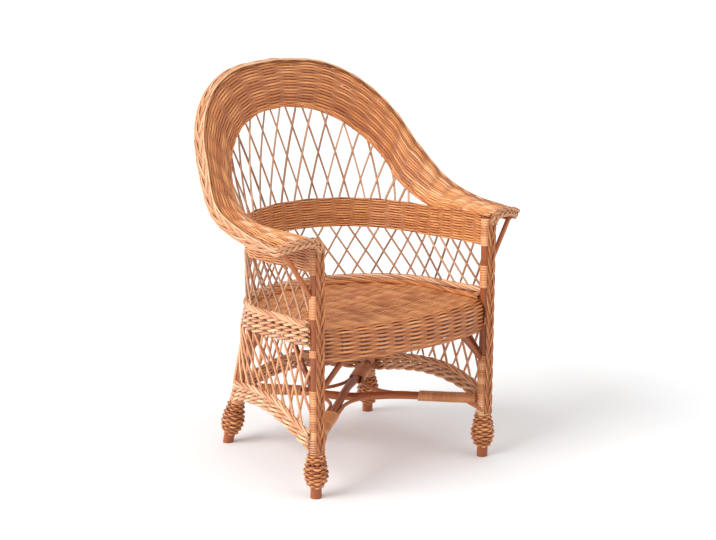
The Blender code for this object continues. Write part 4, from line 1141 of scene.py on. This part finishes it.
def lattice_rods(lower, pitch):
    """Rods of a lattice that stands on a lower edge: each one's lean, and its start and end as (u, v)."""
    reach = lengths(np.array(lower))[-1]
    count = max(4, round(reach / pitch))
    span = (2.0 - 2 * PAIR_SHIFT) / count
    runs = []
    for lean in (1, -1):
        for k in range(-2, count + 2):
            u = (k + 0.5 + lean * PAIR_SHIFT) / count
            stops = sorted((limit - u) / (lean * span) for limit in (END_GAP / reach, 1 - END_GAP / reach))
            low, high = max(0.0, stops[0]), min(1.0, stops[1])
            if high - low > SHORTEST:
                runs.append((lean, (u + lean * span * low, low), (u + lean * span * high, high)))
    return runs


def lattice(bundle, sheet, runs, radius=LATTICE_RADIUS, tone=(0.1, 0.95), tuck=0.0):
    """Lay the rods on a sheet; a rod that ends beside a post is tucked in against it."""
    for lean, start, end in runs:
        share = np.linspace(0, 1, ROD_POINTS)
        u = start[0] + (end[0] - start[0]) * share
        v = start[1] + (end[1] - start[1]) * share
        wave = 0.0006 * np.sin(share * rng.uniform(4, 9) + rng.uniform(0, 6)) / sheet.length
        size = radius * rng.uniform(0.9, 1.12)
        reach = np.linalg.norm(sheet.at(*end) - sheet.at(*start))
        beside = (ease(1 - share * reach / TUCK_RUN) * (start[1] > 0)
                  + ease(1 - (1 - share) * reach / TUCK_RUN) * (end[1] < 1))
        bundle.rod(sheet.at(u + wave, v, tuck * beside - lean * LAP), sheet.out(u, v), size, size,
                   tone=rng.uniform(*tone))


lower_rods = Bundle()
lattice(lower_rods, between(waist_upper, mid_lower), lattice_rods(waist_upper, pitch=0.050))
lower_rods.make("lower_lattice_rods", "lattice_rods", "lower_lattice")

# %% [markdown]
# ## Skirts
#
# Below the waist band hang three skirts of the same diamonds in paler rods, one on each arched band. One
# skirt all round would pass outside the back legs, so the band's lower edge is shared out at those legs. A
# stouter rod stands in each back corner.

# %% Skirts
SKIRT_ROD_RADIUS, SKIRT_PITCH, POST_TUCK = 0.0030, 0.044, 0.0055
CORNER_ROD_RADIUS, CORNER_FOOT = 0.0042, 0.160
leg_foot = back_axis(1, ARCH_FOOT)
leg_bearing = math.atan2(leg_foot[1] - WAIST_CENTRE, leg_foot[0])
bearings = np.arctan2(waist_lower[:, 1] - WAIST_CENTRE, np.abs(waist_lower[:, 0]))
for word in ARCHES:
    if word == "back":
        above = waist_lower[bearings >= leg_bearing][::-1]
    else:
        above = waist_lower[(waist_lower[:, 0] * SIDES[word] > 0) & (bearings <= leg_bearing)][::-1]
    below = arch_edge(word, 1.0)
    skirt = Bundle()
    lattice(skirt, between(below, above), lattice_rods(below, SKIRT_PITCH), SKIRT_ROD_RADIUS, (0.0, 0.6),
            POST_TUCK)
    for end, side in ((0, -1), (-1, 1)) if word == "back" else ():
        outward = unit(np.array([side, 1.0, 0.0]))
        foot = back_axis(side, CORNER_FOOT) + outward * (LEG_RADIUS + 0.004)
        corner_rod = even(np.array([foot, above[end] + UP * 0.010]), 0.01)
        skirt.rod(corner_rod, (side, 1.0, 0.0), CORNER_ROD_RADIUS, CORNER_ROD_RADIUS, tone=0.5)
    skirt.make(word + "_skirt_rods", "pale_willow", "skirt_lattice_" + word)

# %% [markdown]
# ## Lattice in the hoop
#
# The rods in the hoop keep one slope and stop where they meet the rim. Cutting a larger lattice with a
# Boolean would leave open ends, so each rod is followed upwards in small steps until it reaches the rim.
# It is laid out by bearing round the back and height above the mid band.

# %% The opening in the hoop
MIDDLE = math.pi / 2
opening_edge = rim.at(np.linspace(0.02, 0.98, 400), 1.0)
above_band = opening_edge[:, 2] > mid_top(opening_edge[:, 1]) + 0.006
opening_edge = opening_edge[above_band & (opening_edge[:, 1] > MID_CENTRE + 0.005)]
opening_bearings = np.arctan2(opening_edge[:, 1] - MID_CENTRE, opening_edge[:, 0])


def opening_ends(angle):
    """Foot on the mid band and head on the rim, at a bearing round the back."""
    foot = np.array([MID_RADIUS * math.cos(angle), MID_CENTRE + MID_RADIUS * math.sin(angle), 0.0])
    foot[2] = mid_top(foot[1])
    head = np.array([np.interp(angle, opening_bearings, opening_edge[:, axis]) for axis in range(3)])
    return foot, head


def opening_height(angle):
    foot, head = opening_ends(angle)
    return max(np.linalg.norm(head - foot), 0.006)


def opening_point(angle, height):
    foot, head = opening_ends(angle)
    return foot + (head - foot) * height / opening_height(angle)


print("opening is", round(opening_height(MIDDLE), 3), "m high")

# %% Lattice in the hoop
PITCH, STOUT_ROD_RADIUS, CLIMB, LOWEST = math.radians(9.5), 0.0036, 0.002, 0.030
first = opening_bearings[0] + math.radians(1)
last = math.pi - first
side_count = int((last - MIDDLE) / PITCH)
slope = PITCH * (2 - 2 * PAIR_SHIFT) / opening_height(MIDDLE)
upper_rods = Bundle()
for lean in (1, -1):
    for k in range(-side_count, side_count + 1):
        begin = MIDDLE + (k + lean * PAIR_SHIFT) * PITCH
        angle, height = begin, 0.0
        while first < angle < last and height < opening_height(angle):
            height += CLIMB
            angle = begin + lean * slope * height
        if height <= LOWEST or opening_height(angle) > height + 2 * CLIMB:
            continue
        rises = np.linspace(-0.002, height + 0.001, 26)
        path = np.array([opening_point(begin + lean * slope * rise, rise) for rise in rises])
        inward = unit(np.array([0.0, MID_CENTRE, ARM_HEIGHT + 0.002]) - path)
        stout = side_count - 3 <= k * lean < side_count
        size = STOUT_ROD_RADIUS if stout else LATTICE_RADIUS * rng.uniform(0.9, 1.12)
        upper_rods.rod(path - inward * lean * LAP, inward, size, size)
upper_rods.make("upper_lattice_rods", "lattice_rods", "upper_lattice")

# %% [markdown]
# ## The seat's surface
#
# The seat is one sheet that comes forward from the back, turns down over the front rail and hangs as an
# apron. A plane could be bent into that, but a profile is easier to measure along. Each of its points also
# holds how far the sheet bows forward there, and its way out.

# %% Seat profile
SEAT_RADIUS, POST_GAP, FRONT_BOW, FRONT_BOW_RUN = 0.247, 0.0022, 0.040, 0.22
APRON_FOOT, NOSE_DEPTH, NOSE_HEIGHT, NOSE_RADIUS = 0.330, 0.010, 0.382, 0.026
SEAT_BACK = WAIST_CENTRE + SEAT_RADIUS * 0.97


def seat_half(depth):
    """Half the seat's width: between the posts in front, and inside the waist band's curve behind."""
    if depth > WAIST_CENTRE:
        return math.sqrt(max(SEAT_RADIUS ** 2 - (depth - WAIST_CENTRE) ** 2, 0.0))
    front_half = FRONT_HALF - LEG_RADIUS - POST_GAP
    return front_half + (SEAT_RADIUS - front_half) * float(ease((depth - 0.02) / 0.08))


profile = [(NOSE_DEPTH - NOSE_RADIUS, height, 1.0, 0.0, -1.0)
           for height in np.linspace(APRON_FOOT, NOSE_HEIGHT, 12)[:-1]]
for angle in np.linspace(0, math.pi / 2, 10):
    up, forward = math.sin(angle), -math.cos(angle)
    profile.append((NOSE_DEPTH + NOSE_RADIUS * forward, NOSE_HEIGHT + NOSE_RADIUS * up, 1.0, up, forward))
for depth in np.linspace(NOSE_DEPTH, SEAT_BACK, 90)[1:]:
    bow = 1 - float(ease((depth - NOSE_DEPTH) / FRONT_BOW_RUN))
    profile.append((depth, seat_height(depth), bow, 1.0, 0.0))
profile = np.array(profile)
profile_run = lengths(np.hstack([np.zeros((len(profile), 1)), profile[:, :2]]))


def seat_half_at(distance):
    return seat_half(np.interp(distance, profile_run, profile[:, 0]))


def seat_row(distance, x):
    """Points and way out on the seat's middle layer, at a distance up the profile."""
    depth, height, bow, up, forward = (np.interp(distance, profile_run, profile[:, k]) for k in range(5))
    out = np.array([0.0, forward, up])
    points = np.stack([x, depth - FRONT_BOW * bow * (1 - (x / seat_half(depth)) ** 2), height + 0 * x], -1)
    return points - out * SEAT_THICKNESS / 2, out


print("seat profile is", round(profile_run[-1], 3), "m long")

# %% [markdown]
# ## Seat and apron
#
# Rows of rods run from side to side, and flat stakes run from the back down the apron, painted dark as the
# shade in the gaps between the rows. The rim's weave runs every row from end to end, but here a row is as
# long as the seat is wide, so it is laid row by row. Rows lie flatter on the apron, and a darker tone paints
# shade on it. A few long rods twist along the edge and hide the row ends.

# %% Seat and apron
ROW_PITCH, STAKE_PITCH, SEAT_ROD_THICK = 0.0049, 0.0455, 0.0019
APRON_RUN, HEM_RUN, HEM_SHARE = 0.080, 0.016, 0.45
# The apron's rods get a darker tone range and some recess: painted shade on the seat's front.
APRON = {"swing": 0.0024, "wide": 0.0028, "tone": (0.1, 0.8), "recess": 0.04}
TOP = {"swing": 0.0032, "wide": 0.0032, "tone": (0.25, 1.0), "recess": 0.0}
STAKE_HALF_WIDTH, STAKE_HALF_THICKNESS, STAKES_PER_SIDE = 0.0118, 0.0011, 5
seat = Bundle()
row_count = int(profile_run[-1] / ROW_PITCH)
for row in range(row_count):
    distance = (row + 0.5) * profile_run[-1] / row_count
    look = APRON if distance < APRON_RUN else TOP
    half = seat_half_at(distance) - 0.0006
    marks = sorted(rng.uniform(-half, half, 1 + int(half > 0.18)))
    for low, high in zip([-half] + marks, marks + [half]):
        x = np.linspace(max(low - 0.012, -half), min(high + 0.012, half), max(int((high - low) / 0.006), 4))
        points, out = seat_row(distance, x)
        wave = bulge(np.pi * (x / STAKE_PITCH + row)) * (HEM_SHARE if distance < HEM_RUN else 1.0)
        lift = look["swing"] * wave + rng.normal(0, UNEVEN, len(x))
        size = rng.uniform(0.92, 1.06)
        seat.rod(points + out * lift[:, None], out, look["wide"] * size, SEAT_ROD_THICK * size,
                 tone=rng.uniform(*look["tone"]), facing=wave, recess=look["recess"])

# The stakes get a tone below the darkest shade and full recess: painted shade in the gaps between rows.
for k in range(-STAKES_PER_SIDE, STAKES_PER_SIDE + 1):
    x = k * STAKE_PITCH
    stops = [distance for distance in np.linspace(HEM_RUN + 0.002, profile_run[-1] - 0.002, 120)
             if abs(x) < seat_half_at(distance) - 0.003]
    line = [seat_row(distance, np.array([x])) for distance in stops]
    seat.rod([points[0] for points, _ in line], np.array([out for _, out in line]), STAKE_HALF_WIDTH,
             STAKE_HALF_THICKNESS, tone=-0.4, recess=1.0)

EDGE_RADIUS, EDGE_FRONT_HALF = 0.236, 0.242
sides, bend = np.linspace(0.014, WAIST_CENTRE, 20), WAIST_CENTRE + 0.232 * np.sin(np.linspace(0.06, 1.5, 24))
edge = np.array([(EDGE_FRONT_HALF if depth < 0.1 else max(seat_half(depth) - 0.005, 0.02), depth,
                  seat_height(depth) + 0.003) for depth in np.concatenate([sides, bend])])
edge[-8:, 0] = np.sqrt(np.maximum(EDGE_RADIUS ** 2 - (edge[-8:, 1] - WAIST_CENTRE) ** 2, 0))
edge_back = WAIST_CENTRE + EDGE_RADIUS
edge = np.vstack([edge, [(0.0, edge_back, seat_height(edge_back) + 0.004)]])
twist(seat, mirrored(edge), UP, radius=0.0046, rods=5, period=0.140, size=0.0029, flat=0.8)
seat.make("seat_willow", "woven_willow", "seat_weave")

# %% [markdown]
# ## Studio
#
# A pale floor in an even white surround, with a soft key light from the left and a weak fill. Area lamps
# would fall off across the chair, so both lights are suns, whose wide angle softens the shadow.

# %% Studio
bpy.ops.mesh.primitive_plane_add(size=80)
floor = bpy.context.active_object
floor.name = "studio_floor"
ground = Nodes("studio_floor")
ground.feed(Base_Color=(0.93, 0.93, 0.93, 1.0), Roughness=0.9)
floor.data.materials.append(ground.material)

world = bpy.data.worlds.new("studio")
bpy.context.scene.world = world
world.use_nodes = True
surround = world.node_tree.nodes["Background"].inputs
surround["Color"].default_value = (1.0, 1.0, 1.0, 1.0)
surround["Strength"].default_value = 0.70


def towards(azimuth, elevation):
    """Way from the chair to a light or to the camera, from angles in degrees."""
    a, e = math.radians(azimuth), math.radians(elevation)
    return Vector((math.sin(a) * math.cos(e), -math.cos(a) * math.cos(e), math.sin(e)))


def sun(name, strength, azimuth, elevation, spread):
    lamp = bpy.data.lights.new(name, "SUN")
    lamp.energy, lamp.angle = strength, math.radians(spread)
    add_object(name, lamp).rotation_euler = towards(azimuth, elevation).to_track_quat("Z", "Y").to_euler()


sun("key_light", strength=2.7, azimuth=-94, elevation=32, spread=45)
sun("fill_light", strength=0.6, azimuth=20, elevation=35, spread=60)
bpy.context.scene.view_settings.view_transform = "Standard"
print("studio has a floor and two lights")

# %% [markdown]
# ## Camera
#
# The camera stands where the photograph was taken from, to the left of the chair's front and a little
# above. Its lens could be set by eye, but is worked out from the focal length in pixels of a picture 716
# pixels wide.

# %% Camera
AZIMUTH, ELEVATION, DISTANCE = -35.0278, 14.1471, 4.381
FOCAL_PIXELS, PICTURE_WIDTH, SENSOR_WIDTH = 1790.767, 716, 36.0
target = Vector((0.0, 0.185 + HOME[1], 0.4771))
view = towards(AZIMUTH, ELEVATION)
camera = add_object("camera", bpy.data.cameras.new("camera"))
camera.data.sensor_width, camera.data.lens = SENSOR_WIDTH, FOCAL_PIXELS * SENSOR_WIDTH / PICTURE_WIDTH
camera.location = target + view * DISTANCE
camera.rotation_euler = view.to_track_quat("Z", "Y").to_euler()
bpy.context.scene.camera = camera
print("camera stands", DISTANCE, "m away")

# %% [markdown]
# ## Finish
#

# %% Finish
print("chair finished")
